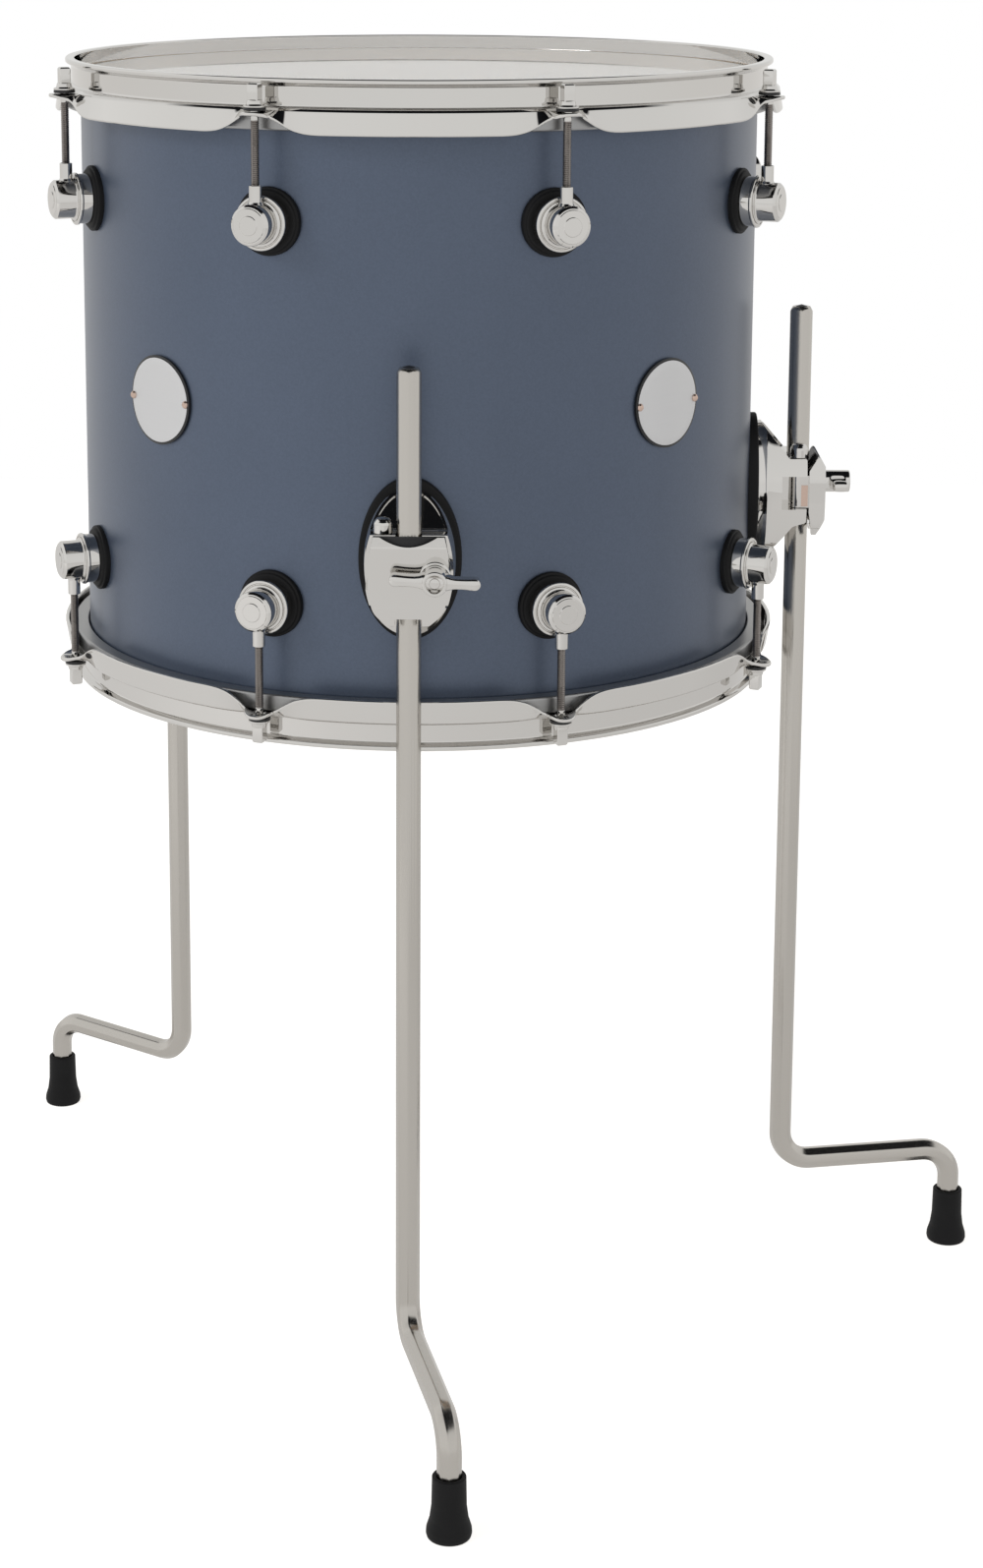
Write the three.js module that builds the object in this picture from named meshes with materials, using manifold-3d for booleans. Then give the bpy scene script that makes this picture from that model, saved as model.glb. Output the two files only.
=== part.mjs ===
// Floor tom: a 16 in by 14 in drum that stands on three sliding, bent legs.
// Lengths are in millimetres and +Z is up. Angles turn from the front, which is -Y, towards +X.
// Each sub-part is modelled at the front of the drum and then turned round to its own place.

import * as THREE from 'three';
import { mergeVertices } from 'three/addons/utils/BufferGeometryUtils.js';
import Module from 'manifold-3d';

const wasm = await Module();
wasm.setup();

// Working allowances
const seatGap = 0.3;
const overrun = 30;
const weld = 0.0005;

// Drum shell
const shellRadius = 202.4;
const shellDepth = 352.4;
const shellWall = 7.2;
const shellAboveFloor = 405.3;
const bearingRound = 1.2;
const bearingCut = 6;
const ventRadius = 5;
const shellSides = 64;
const shellTop = shellAboveFloor + shellDepth;

// Drum heads
const filmThickness = 0.5;
const collarFlare = 2.2;
const fleshHoopOut = 9.6;
const fleshHoopHeight = 10;

// Hoops, measured from the top of the rolled lip
const lipRise = 9.3;
const lipOverhang = 3.2;
const lipRoll = 1.5;
const lipHeight = 4.4;
const hoopSheet = 2.3;
const hoopHeight = 30.1;
const ledgeDrop = 15.9;
const collarClearance = 1.1;
const skirtClearance = 1.1;
const skirtShoulder = 1.8;
const skirtFlare = 2.1;
const hoopWallRadius = shellRadius + collarFlare + collarClearance + hoopSheet;
const lipRadius = hoopWallRadius + lipOverhang;
const skirtTopRadius = shellRadius + fleshHoopOut + skirtClearance + hoopSheet;
const skirtEdgeRadius = skirtTopRadius + skirtFlare;
const fleshHoopTop = ledgeDrop + hoopSheet - lipRise + seatGap;

// Tension rods and the ears of the hoops that they pull on
const rodsPerHead = 8;
const rodRadius = 2.4;
const rodLength = 58.5;
const rodSides = 8;
const washerRadius = 6.2;
const washerClearance = 0.4;
const washerThickness = 1.6;
const flangeHeight = 3.2;
const flangeNeckRadius = 4.3;
const driveSquare = 6.35;
const driveHeight = 9.8;
const earFall = 1.4;
const earRadius = 9;
const earFlare = 15;
const earSeatRoom = 3;
const earHoleClearance = 0.9;
const earStationShares = [0, 0.7];
const flareStationShares = [0.45, 1];
const plainHoopSteps = 4;
const earDrop = ledgeDrop + earFall;
const rodCircle = skirtTopRadius - earSeatRoom + washerClearance + washerRadius;
const washerSeat = lipRise - earDrop + seatGap;

// Turret lugs
const lugDrop = 69.2;
const lugReach = 26;
const lugGasketRadius = 19;
const lugGasketThickness = 4;
const lugBaseRadius = 14.9;
const lugBaseLength = 7.4;
const lugShoulder = 1.6;
const lugBarrelRadius = 11.3;
const lugChamfer = 1.5;
const lugSides = 12;
const sleeveWall = 0.7;
const sleeveHeight = 21;
const sleeveClearance = 0.5;
const rodEndClearance = 6.2;
const sleeveBore = rodRadius + sleeveClearance;

// Badges, which are left bare
const badgeRadius = 25.5;
const badgeThickness = 2;
const badgeSides = 24;
const badgeAngles = { left: -45, right: 45 };

// Leg brackets, measured from the middle of the bracket and out from its gasket
const bracketAboveShellEdge = 99.2;
const bracketGasketMargin = { width: 3.5, height: 4.3 };
const bracketGasketThickness = 4;
const bracketHalf = { width: 25, height: 41.2 };
const bracketReach = 29.5;
const bracketOvalSides = 24;
const bracketShoulderShare = 0.75;
const bracketFootShare = 0.27;
const bracketSideShares = [
  [0, 0], [0.25, 0], [0.73, 0.24], [1, bracketFootShare],
  [1, bracketShoulderShare], [0.64, bracketShoulderShare], [0.07, 1], [0, 1],
];
const bracketSeat = shellRadius + seatGap + bracketGasketThickness + seatGap;
const bracketFront = bracketSeat + bracketReach;
const bracketHeight = shellAboveFloor + bracketAboveShellEdge;

// Rubber feet
const footHeight = 35;
const footWall = 2.1;
const footWaistSpread = 0.65;
const footBaseSpread = 3.5;
const footEdge = 2.5;
const footSole = 8;
const footSides = 16;
const footWaistShare = 0.6;

// Legs: octagonal rod with two bends
const legAngles = { front: 0, right: 90, left: -134 };
const legTurnAngles = { front: 12.7, right: 11.1, left: 9 };
const legFaces = 8;
const rodAcrossFlats = 12.7;
const legAxisOut = 25.75;
const legAboveBracket = 111.2;
const legOffset = 113.75;
const legBendRadius = 19;
const legNeck = 9;
const legEndChamfer = 1.8;
const bendSteps = 4;
const legCorner = rodAcrossFlats / 2 / Math.cos(Math.PI / legFaces);
const legRoom = legCorner + seatGap;
const legAxisRadius = bracketSeat + legAxisOut;
const legTopHeight = bracketHeight + legAboveBracket;
const legStepHeight = footHeight + legNeck + legBendRadius;

// Hinge of the clamp jaw
const pinInset = 4.5;
const pinRadius = 2.5;
const pinClearance = 0.3;
const pinHeadRadius = 5.3;
const pinHeadHeight = 9.5;
const pinHeadShares = [[1, 0], [1, 0.58], [0.72, 0.9], [0, 1]];
const pinSides = 12;
const knuckleRadius = 4.8;
const knuckleArcSteps = 6;
const windowHalfHeight = 10.2;
const windowDepth = 15.2;
const windowWeb = 1.7;
const pinOut = bracketFront - pinInset;
const pinSide = legRoom + windowWeb + pinClearance + knuckleRadius;

// Clamp jaw
const jawClearance = 1.5;
const jawThickness = 9.8;
const jawHalfWidth = 22.5;
const jawTop = 22.4;
const jawBottom = 28.8;
const jawNotch = 4.5;
const jawNotchSide = 0.5;
const jawOutlineShares = [
  [0.5, -1], [0.87, -0.74], [1, -0.28], [1, 0.35], [0.87, 1],
];
const jawSideShares = [
  [0, -0.43], [0, 0.58], [0.62, 1], [1, 0.7], [1, -0.6], [0.55, -1], [0.3, -1],
];
const funnelRise = 14.2;
const jawInner = bracketFront + jawClearance;
const jawOuter = jawInner + jawThickness;

// Wing bolt
const boltLift = 0.1;
const boltRadius = 3;
const boltDepth = 28;
const boltClearance = 0.4;
const boltHoleRoom = 1.1;
const boltWeb = 3.2;
const boltSeatMargin = 1.7;
const boltSeatHeight = 2;
const hubRadius = 6.8;
const hubLength = 16.3;
const hubChamfer = 1.2;
const hubRecessRoom = 0.8;
const hubRecessDepth = 2;
const hubSides = 12;
const wingReach = 24.5;
const wingRoot = 4.6;
const wingWaist = 2.4;
const wingWaistShare = 0.62;
const wingTipRadius = 3.2;
const wingTipSteps = 5;
const wingInset = 2.6;
const wingRise = 2.5;
const wingDroop = 3;
const boltStart = jawOuter + boltSeatHeight + seatGap;
const boltHoleRadius = boltRadius + boltHoleRoom;
const boltSide = legRoom + boltWeb + boltHoleRadius;

// Finishes
const chrome = { color: 0xc9c8c6, roughness: 0.12, metalness: 1 };
const rubber = { color: 0x1e1e20, roughness: 0.75, metalness: 0 };
const lacquer = { color: 0x5f6b80, roughness: 0.42, metalness: 0.35 };
const clearFilm = { color: 0xdedcd4, roughness: 0.15, metalness: 0 };
const brushedBadge = { color: 0xb9babd, roughness: 0.35, metalness: 0.9 };

const degrees = (angle) => THREE.MathUtils.degToRad(angle);

// Merged copy of a closed geometry, with its faces turned outwards.
function closed(geometry) {
  const bare = geometry.clone();
  bare.deleteAttribute('normal');
  bare.deleteAttribute('uv');
  const merged = mergeVertices(bare, weld);
  const place = merged.attributes.position;
  const corners = [0, 1, 2].map(() => new THREE.Vector3());
  const kept = [];
  let volume = 0;
  for (let i = 0; i < merged.index.count; i += corners.length) {
    const triangle = [0, 1, 2].map((k) => merged.index.getX(i + k));
    if (new Set(triangle).size < corners.length) continue;
    corners.forEach((corner, k) => corner.fromBufferAttribute(place, triangle[k]));
    volume += corners[0].dot(corners[1].clone().cross(corners[2]));
    kept.push(triangle);
  }
  if (volume < 0) kept.forEach((triangle) => triangle.reverse());
  const tidy = new THREE.BufferGeometry();
  tidy.setAttribute('position', place);
  tidy.setIndex(kept.flat());
  return tidy;
}

function toSolid(geometry) {
  const shape = closed(geometry);
  return new wasm.Manifold(new wasm.Mesh({
    numProp: 3,
    vertProperties: Float32Array.from(shape.attributes.position.array),
    triVerts: Uint32Array.from(shape.index.array),
  }));
}

function toGeometry(solid) {
  const mesh = solid.getMesh();
  const geometry = new THREE.BufferGeometry();
  geometry.setAttribute('position', new THREE.BufferAttribute(mesh.vertProperties, mesh.numProp));
  geometry.setIndex(new THREE.BufferAttribute(mesh.triVerts, 1));
  return geometry;
}

// Profile of [radius, height] points turned round the Z axis.
function turned(profile, sides) {
  const points = profile.map(([radius, height]) => new THREE.Vector2(radius, height));
  return new THREE.LatheGeometry(points, sides).rotateX(Math.PI / 2);
}

// Profile of [radius, distance out] points turned round an axis that points out of the drum.
function turnedOutward(profile, sides) {
  return turned(profile, sides).rotateX(Math.PI / 2);
}

function extruded(points, length, start) {
  const shape = new THREE.Shape(points.map(([x, y]) => new THREE.Vector2(x, y)));
  const options = { depth: length, bevelEnabled: false, curveSegments: 1 };
  return new THREE.ExtrudeGeometry(shape, options).translate(0, 0, start);
}

// Outline of [side, height] points, carried out from one distance to another.
function frontPrism(points, from, to) {
  return extruded(points, to - from, from).rotateX(Math.PI / 2);
}

// Outline of [distance out, height] points, carried across by half a width each way.
function sidePrism(points, halfWidth) {
  return extruded(points, 2 * halfWidth, -halfWidth).rotateX(Math.PI / 2).rotateZ(-Math.PI / 2);
}

// Outline of [side, distance out] points, carried up from one height to another.
function planPrism(points, from, to) {
  return extruded(points.map(([side, out]) => [side, -out]), to - from, from);
}

function circle(radius, sides, turn = 0) {
  return Array.from({ length: sides }, (_, i) => {
    const angle = turn + (i * 2 * Math.PI) / sides;
    return [radius * Math.cos(angle), radius * Math.sin(angle)];
  });
}

function oval(half, sides) {
  return circle(1, sides).map(([x, y]) => [half.width * x, half.height * y]);
}

function post(radius, sides, side, out, from, to) {
  const points = circle(radius, sides).map(([x, y]) => [side + x, out + y]);
  return toSolid(planPrism(points, from, to));
}

// Rod that points out of the drum.
function bar(radius, sides, side, height, from, to) {
  const points = circle(radius, sides).map(([x, y]) => [side + x, height + y]);
  return toSolid(frontPrism(points, from, to));
}

// Block that has the curve of the shell and a clearance, for cutting what seats on it.
function shellBlank(clearance) {
  const radius = shellRadius + clearance;
  const half = shellDepth / 2 + overrun;
  return toSolid(turned([[0, -half], [radius, -half], [radius, half], [0, half]], shellSides));
}

function makeShell() {
  const inner = shellRadius - shellWall;
  const edge = shellRadius - bearingRound;
  const profile = [
    [inner, bearingCut], [edge, 0], [shellRadius, bearingRound],
    [shellRadius, shellDepth - bearingRound], [edge, shellDepth], [inner, shellDepth - bearingCut],
    [inner, bearingCut],
  ];
  const reach = shellRadius + overrun;
  const vent = bar(ventRadius, rodSides, 0, shellDepth / 2, -reach, 0);
  return toGeometry(toSolid(turned(profile, shellSides)).subtract(vent));
}

function makeHead() {
  const under = seatGap;
  const top = under + filmThickness;
  const collar = shellRadius + filmThickness;
  const fleshRadius = shellRadius + fleshHoopOut;
  const profile = [
    [0, top], [shellRadius, top], [shellRadius + collarFlare, -fleshHoopTop],
    [fleshRadius, -fleshHoopTop], [fleshRadius, -fleshHoopTop - fleshHoopHeight],
    [collar, -fleshHoopTop - fleshHoopHeight], [collar, under], [0, under],
  ];
  return closed(turned(profile, shellSides));
}

// Section of the hoop, from the plain skirt at flare 0 to the flat ear at flare 1.
function hoopSection(flare, earEdge) {
  const mix = THREE.MathUtils.lerp;
  const wallInner = hoopWallRadius - hoopSheet;
  const bend = skirtTopRadius - flare * earSeatRoom;
  const under = -ledgeDrop - hoopSheet;
  const edge = mix(skirtEdgeRadius, earEdge, flare);
  const inner = mix(skirtEdgeRadius - hoopSheet, earEdge, flare);
  return [
    [wallInner, under], [wallInner, 0],
    [lipRadius - lipRoll, 0], [lipRadius, -lipRoll], [lipRadius - lipRoll, -lipHeight + lipRoll],
    [hoopWallRadius, -lipHeight], [hoopWallRadius, -ledgeDrop],
    [bend - skirtShoulder, -ledgeDrop], [bend, -earDrop], [edge, mix(-hoopHeight, -earDrop, flare)],
    [inner, mix(-hoopHeight, -earDrop - hoopSheet, flare)],
    [skirtTopRadius - hoopSheet, under],
  ];
}

// Places round one ear, as a distance along the hoop and the section of the hoop there.
function earStations() {
  const ear = earStationShares.map((share) => {
    const along = share * earRadius;
    const edge = rodCircle + Math.sqrt(earRadius ** 2 - along ** 2);
    return { along, section: hoopSection(1, edge) };
  });
  const flare = flareStationShares.map((share) => {
    const left = 1 - THREE.MathUtils.smoothstep(share, 0, 1);
    return { along: earRadius + share * earFlare, section: hoopSection(left, rodCircle) };
  });
  const right = [...ear, ...flare];
  const left = right.slice(1).reverse().map((place) => ({ ...place, along: -place.along }));
  return [...left, ...right];
}

function makeHoop() {
  const bay = (2 * Math.PI) / rodsPerHead;
  const nearEar = earStations();
  const last = nearEar[nearEar.length - 1];
  const lastAngle = last.along / rodCircle;
  const plainStep = (bay - 2 * lastAngle) / plainHoopSteps;
  const stations = [];
  for (let k = 0; k < rodsPerHead; k += 1) {
    const middle = (k + 0.5) * bay;
    nearEar.forEach(({ along, section }) => stations.push([middle + along / rodCircle, section]));
    for (let i = 1; i < plainHoopSteps; i += 1) {
      stations.push([middle + lastAngle + i * plainStep, last.section]);
    }
  }
  const around = stations.length;
  const across = last.section.length;
  const places = stations.flatMap(([angle, section]) => section.flatMap(([radius, height]) => [
    radius * Math.sin(angle), -radius * Math.cos(angle), height,
  ]));
  const faces = [];
  for (let i = 0; i < around; i += 1) {
    const next = (i + 1) % around;
    for (let j = 0; j < across; j += 1) {
      const beside = (j + 1) % across;
      const [a, b] = [i * across + j, i * across + beside];
      const [c, d] = [next * across + beside, next * across + j];
      faces.push(a, b, c, a, c, d);
    }
  }
  const ring = new THREE.BufferGeometry();
  ring.setAttribute('position', new THREE.Float32BufferAttribute(places, 3));
  ring.setIndex(faces);
  let hoop = toSolid(ring);
  for (let k = 0; k < rodsPerHead; k += 1) {
    const angle = (k + 0.5) * bay;
    const [side, out] = [rodCircle * Math.sin(angle), rodCircle * Math.cos(angle)];
    const hole = post(rodRadius + earHoleClearance, rodSides, side, out, -hoopHeight, 0);
    hoop = hoop.subtract(hole);
  }
  return toGeometry(hoop);
}

// Tension rod on its own axis, with the underside of its washer at height 0.
function makeTensionRod() {
  const flangeTop = washerThickness + flangeHeight;
  const flangeEdge = washerThickness + flangeHeight / 2;
  const turnedPart = toSolid(turned([
    [0, -rodLength], [rodRadius, -rodLength], [rodRadius, 0], [washerRadius, 0],
    [washerRadius, flangeEdge], [flangeNeckRadius, flangeTop], [0, flangeTop],
  ], rodSides));
  const half = driveSquare / 2;
  const square = [[-half, -half], [half, -half], [half, half], [-half, half]];
  const drive = toSolid(planPrism(square, flangeEdge, flangeTop + driveHeight));
  return toGeometry(turnedPart.add(drive));
}

// Turret lug with its gasket, on an axis at height 0, with its rod sleeve upwards.
function makeLug(blank) {
  const face = shellRadius;
  const baseOut = face + lugGasketThickness + lugBaseLength;
  const body = toSolid(turnedOutward([
    [0, face - overrun], [lugGasketRadius, face - overrun],
    [lugGasketRadius, face + lugGasketThickness], [lugBaseRadius, face + lugGasketThickness],
    [lugBaseRadius, baseOut], [lugBarrelRadius, baseOut + lugShoulder],
    [lugBarrelRadius, face + lugReach - lugChamfer],
    [lugBarrelRadius - lugChamfer, face + lugReach], [0, face + lugReach],
  ], lugSides));
  const boreEnd = lugDrop + washerSeat - rodLength - rodEndClearance;
  const sleeve = post(sleeveBore + sleeveWall, rodSides, 0, rodCircle, 0, sleeveHeight);
  const bore = post(sleeveBore, rodSides, 0, rodCircle, boreEnd, sleeveHeight + overrun);
  return toGeometry(body.add(sleeve).subtract(bore).subtract(blank));
}

function makeBadge(blank) {
  const disc = bar(badgeRadius, badgeSides, 0, 0, shellRadius - overrun, shellRadius + overrun);
  return toGeometry(disc.intersect(shellBlank(seatGap + badgeThickness)).subtract(blank));
}

// Path through named places, each with its own direction, so that bends get the steps they need.
class StationPath extends THREE.Curve {
  constructor(stations) {
    super();
    this.stations = stations;
  }

  at(share) {
    return this.stations[Math.round(share * (this.stations.length - 1))];
  }

  getPointAt(share) {
    return this.at(share).point.clone();
  }

  getTangentAt(share) {
    return this.at(share).direction.clone();
  }
}

// Leg on the axis of its upper rod: down, out along the step, and down into the foot.
function makeLeg(turn) {
  const station = (out, height, slope) => ({
    point: new THREE.Vector3(0, -out, height),
    direction: new THREE.Vector3(0, -Math.sin(slope), -Math.cos(slope)),
  });
  const stations = [station(0, legTopHeight, 0)];
  for (let i = 0; i <= bendSteps; i += 1) {
    const slope = (i / bendSteps) * (Math.PI / 2);
    const out = legBendRadius * (1 - Math.cos(slope));
    const height = legStepHeight + legBendRadius * (1 - Math.sin(slope));
    stations.push(station(out, height, slope));
  }
  for (let i = 0; i <= bendSteps; i += 1) {
    const slope = (1 - i / bendSteps) * (Math.PI / 2);
    const out = legOffset - legBendRadius * (1 - Math.cos(slope));
    const height = legStepHeight - legBendRadius * (1 - Math.sin(slope));
    stations.push(station(out, height, slope));
  }
  stations.push(station(legOffset, footSole + seatGap, 0));
  const corners = circle(legCorner, legFaces, degrees(turn)).map(([x, y]) => new THREE.Vector2(x, y));
  const rod = toSolid(new THREE.ExtrudeGeometry(new THREE.Shape(corners), {
    steps: stations.length - 1, extrudePath: new StationPath(stations), bevelEnabled: false,
  }));
  const reach = legOffset + overrun;
  const envelope = toSolid(turned([
    [0, 0], [reach, 0], [reach, legStepHeight + overrun], [legCorner + overrun, legStepHeight + overrun],
    [legCorner, legTopHeight - legEndChamfer], [legCorner - legEndChamfer, legTopHeight],
    [0, legTopHeight],
  ], footSides));
  return toGeometry(rod.intersect(envelope));
}

function makeFoot() {
  const top = legRoom + footWall;
  const waistHeight = footHeight * (1 - footWaistShare);
  return closed(turned([
    [0, 0], [top + footBaseSpread - footEdge / 2, 0], [top + footBaseSpread, footEdge],
    [top + footWaistSpread, waistHeight], [top, footHeight], [legRoom, footHeight],
    [legRoom, footSole], [0, footSole],
  ], footSides));
}

function makeBracketGasket(blank) {
  const outline = oval({
    width: bracketHalf.width + bracketGasketMargin.width,
    height: bracketHalf.height + bracketGasketMargin.height,
  }, bracketOvalSides);
  const outer = shellRadius + seatGap + bracketGasketThickness;
  return toGeometry(toSolid(frontPrism(outline, shellRadius - overrun, outer)).subtract(blank));
}

// Room for the leg, as an octagon with a corner pointing out of the drum.
function legChannel() {
  const corners = circle(legRoom, legFaces).map(([x, y]) => [x, legAxisRadius + y]);
  return toSolid(planPrism(corners, -overrun - bracketHalf.height, overrun + jawTop));
}

// The same room, open to the front so that the leg can be laid in.
function openChannel() {
  const mouth = [
    [-legRoom, legAxisRadius], [legRoom, legAxisRadius],
    [legRoom, legAxisRadius + overrun], [-legRoom, legAxisRadius + overrun],
  ];
  const slot = toSolid(planPrism(mouth, -overrun - bracketHalf.height, overrun + jawTop));
  return legChannel().add(slot);
}

function makeBracket() {
  const side = bracketSideShares.map(([out, up]) => [
    bracketSeat + out * bracketReach, (2 * up - 1) * bracketHalf.height,
  ]);
  const block = toSolid(frontPrism(oval(bracketHalf, bracketOvalSides), bracketSeat, bracketFront));
  const windowInner = legRoom + windowWeb;
  const windowPlan = [
    [-bracketHalf.width - overrun, bracketFront - windowDepth],
    [-windowInner, bracketFront - windowDepth],
    [-windowInner, bracketFront + overrun], [-bracketHalf.width - overrun, bracketFront + overrun],
  ];
  const boltEnd = boltStart - boltDepth - boltHoleRoom;
  return toGeometry(block
    .intersect(toSolid(sidePrism(side, bracketHalf.width + overrun)))
    .subtract(openChannel())
    .subtract(toSolid(planPrism(windowPlan, -windowHalfHeight, windowHalfHeight)))
    .subtract(post(pinRadius + pinClearance, rodSides, -pinSide, pinOut, -overrun, overrun))
    .subtract(bar(boltHoleRadius, hubSides, boltSide, boltLift, boltEnd, bracketFront + overrun)));
}

// Hinge pin with a domed head, on its own axis, with the seat of its head at height 0.
function makeHingePin() {
  const length = 2 * bracketHalf.height * (bracketShoulderShare - bracketFootShare);
  const head = pinHeadShares.map(([out, up]) => [out * pinHeadRadius, up * pinHeadHeight]);
  return closed(turned([[0, -length], [pinRadius, -length], [pinRadius, 0], ...head], pinSides));
}

function makeClampJaw() {
  const half = jawOutlineShares.map(([side, up]) => [
    side * jawHalfWidth, up * (up < 0 ? jawBottom : jawTop),
  ]);
  const notchSide = legCorner + jawNotchSide;
  const notchTop = jawNotch - jawBottom;
  const right = [[notchSide, notchTop], [notchSide, -jawBottom], ...half];
  const left = right.map(([side, up]) => [-side, up]).reverse();
  const section = jawSideShares.map(([out, up]) => [
    jawInner + out * jawThickness, up * (up < 0 ? jawBottom : jawTop),
  ]);
  const plate = toSolid(frontPrism([...right, ...left], jawInner, jawOuter))
    .intersect(toSolid(sidePrism(section, jawHalfWidth + overrun)));
  const funnel = toSolid(turned([
    [0, jawTop - funnelRise], [legRoom, jawTop - funnelRise],
    [legRoom + funnelRise + overrun, jawTop + overrun], [0, jawTop + overrun],
  ], bracketOvalSides).translate(0, -legAxisRadius, 0));
  const arc = Array.from({ length: knuckleArcSteps + 1 }, (_, i) => {
    const angle = Math.PI * (1 + i / knuckleArcSteps);
    return [knuckleRadius * Math.cos(angle) - pinSide, pinOut + knuckleRadius * Math.sin(angle)];
  });
  const tongueEnd = jawInner + jawClearance;
  const tongue = [...arc, [knuckleRadius - pinSide, tongueEnd], [-knuckleRadius - pinSide, tongueEnd]];
  const tongueHalf = windowHalfHeight - pinClearance;
  return toGeometry(plate
    .subtract(legChannel())
    .subtract(funnel)
    .add(bar(hubRadius + boltSeatMargin, hubSides, boltSide, boltLift, jawInner, boltStart - seatGap))
    .subtract(bar(boltRadius + boltClearance, hubSides, boltSide, boltLift, jawInner - overrun, boltStart))
    .add(toSolid(planPrism(tongue, -tongueHalf, tongueHalf)))
    .subtract(post(pinRadius + pinClearance, rodSides, -pinSide, pinOut, -overrun, overrun)));
}

// Half outline of one wing: wide at the hub, drawn in at its waist, and round at its tip.
function wingOutline() {
  const tip = Array.from({ length: wingTipSteps + 1 }, (_, i) => {
    const angle = Math.PI * (i / wingTipSteps - 0.5);
    return [
      wingReach - wingTipRadius + wingTipRadius * Math.cos(angle), wingTipRadius * Math.sin(angle),
    ];
  });
  const waist = wingWaistShare * wingReach;
  return [[0, -wingRoot], [waist, -wingWaist], ...tip, [waist, wingWaist], [0, wingRoot]];
}

// Wing bolt on an axis at height 0: hub, two wings and the screw that enters the bracket.
function makeWingBolt() {
  const end = boltStart + hubLength;
  const recess = boltRadius + hubRecessRoom;
  const hub = toSolid(turnedOutward([
    [0, boltStart - boltDepth], [boltRadius, boltStart - boltDepth], [boltRadius, boltStart],
    [hubRadius, boltStart], [hubRadius, end - hubChamfer], [hubRadius - hubChamfer, end],
    [recess, end], [recess, end - hubRecessDepth],
    [boltRadius, end - hubRecessDepth], [boltRadius, end - hubRecessDepth / 2],
    [0, end - hubRecessDepth / 2],
  ], hubSides));
  const core = bar(recess, hubSides, 0, 0, boltStart - overrun, end + overrun);
  const wing = frontPrism(wingOutline(), boltStart + wingInset, end - wingInset);
  const right = toSolid(wing.clone().rotateY(degrees(wingDroop)));
  const left = toSolid(wing.clone().rotateY(Math.PI + degrees(wingRise)));
  return toGeometry(hub.add(right.add(left).subtract(core)));
}

function piece(name, geometry, finish) {
  const mesh = new THREE.Mesh(geometry, new THREE.MeshStandardMaterial(finish));
  mesh.name = name;
  return mesh;
}

// Group turned round the drum to an angle in degrees.
function turnedGroup(angle, ...children) {
  const group = new THREE.Group();
  group.rotation.z = degrees(angle);
  group.add(...children);
  return group;
}

// One end of the drum, with its edge of the shell at height 0 and the outside upwards.
function makeEnd(names, numberAngle, shapes) {
  const end = new THREE.Group();
  const hoop = piece(names.hoop, shapes.hoop, chrome);
  hoop.position.z = lipRise;
  end.add(hoop, piece(names.head, shapes.head, clearFilm));
  for (let k = 0; k < rodsPerHead; k += 1) {
    const lug = piece(`${names.end}_lug_${k + 1}`, shapes.lug, chrome);
    lug.position.z = -lugDrop;
    const rod = piece(`${names.end}_tension_rod_${k + 1}`, shapes.rod, chrome);
    rod.position.set(0, -rodCircle, washerSeat);
    end.add(turnedGroup(numberAngle(k), lug, rod));
  }
  return end;
}

function makeLegSet(side, shapes) {
  const leg = piece(`${side}_leg`, makeLeg(legTurnAngles[side]), chrome);
  const foot = piece(`${side}_foot`, shapes.foot, rubber);
  foot.position.y = -legOffset;
  const onAxis = new THREE.Group();
  onAxis.position.y = -legAxisRadius;
  onAxis.rotation.z = degrees(legTurnAngles[side]);
  onAxis.add(leg, foot);
  const pin = piece(`${side}_hinge_pin`, shapes.hingePin, chrome);
  const pinSeat = (2 * bracketShoulderShare - 1) * bracketHalf.height + seatGap;
  pin.position.set(-pinSide, -pinOut, pinSeat);
  const bolt = piece(`${side}_wing_bolt`, shapes.wingBolt, chrome);
  bolt.position.set(boltSide, 0, boltLift);
  const bracket = new THREE.Group();
  bracket.position.z = bracketHeight;
  bracket.add(
    piece(`${side}_bracket_gasket`, shapes.bracketGasket, rubber),
    piece(`${side}_leg_bracket`, shapes.bracket, chrome),
    piece(`${side}_clamp_jaw`, shapes.clampJaw, chrome),
    pin,
    bolt,
  );
  return turnedGroup(legAngles[side], onAxis, bracket);
}

function makeFloorTom() {
  const blank = shellBlank(seatGap);
  const shapes = {
    hoop: makeHoop(),
    head: makeHead(),
    lug: makeLug(blank),
    rod: makeTensionRod(),
    foot: makeFoot(),
    bracketGasket: makeBracketGasket(blank),
    bracket: makeBracket(),
    hingePin: makeHingePin(),
    clampJaw: makeClampJaw(),
    wingBolt: makeWingBolt(),
  };
  const drum = new THREE.Group();
  const shell = piece('shell', makeShell(), lacquer);
  shell.position.z = shellAboveFloor;
  drum.add(shell);

  const bayAngle = 360 / rodsPerHead;
  const angleOf = (k) => (k + 0.5) * bayAngle;
  const topNames = { end: 'top', hoop: 'top_hoop', head: 'batter_head' };
  const top = makeEnd(topNames, angleOf, shapes);
  top.position.z = shellTop;
  const bottomNames = { end: 'bottom', hoop: 'bottom_hoop', head: 'resonant_head' };
  const bottom = makeEnd(bottomNames, (k) => 180 - angleOf(k), shapes);
  bottom.position.z = shellAboveFloor;
  bottom.rotation.x = Math.PI;
  drum.add(top, bottom);

  const badgeShape = makeBadge(blank);
  for (const [side, angle] of Object.entries(badgeAngles)) {
    const badge = piece(`${side}_badge`, badgeShape, brushedBadge);
    badge.position.z = shellAboveFloor + shellDepth / 2;
    drum.add(turnedGroup(angle, badge));
  }
  Object.keys(legAngles).forEach((side) => drum.add(makeLegSet(side, shapes)));
  return drum;
}

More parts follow.
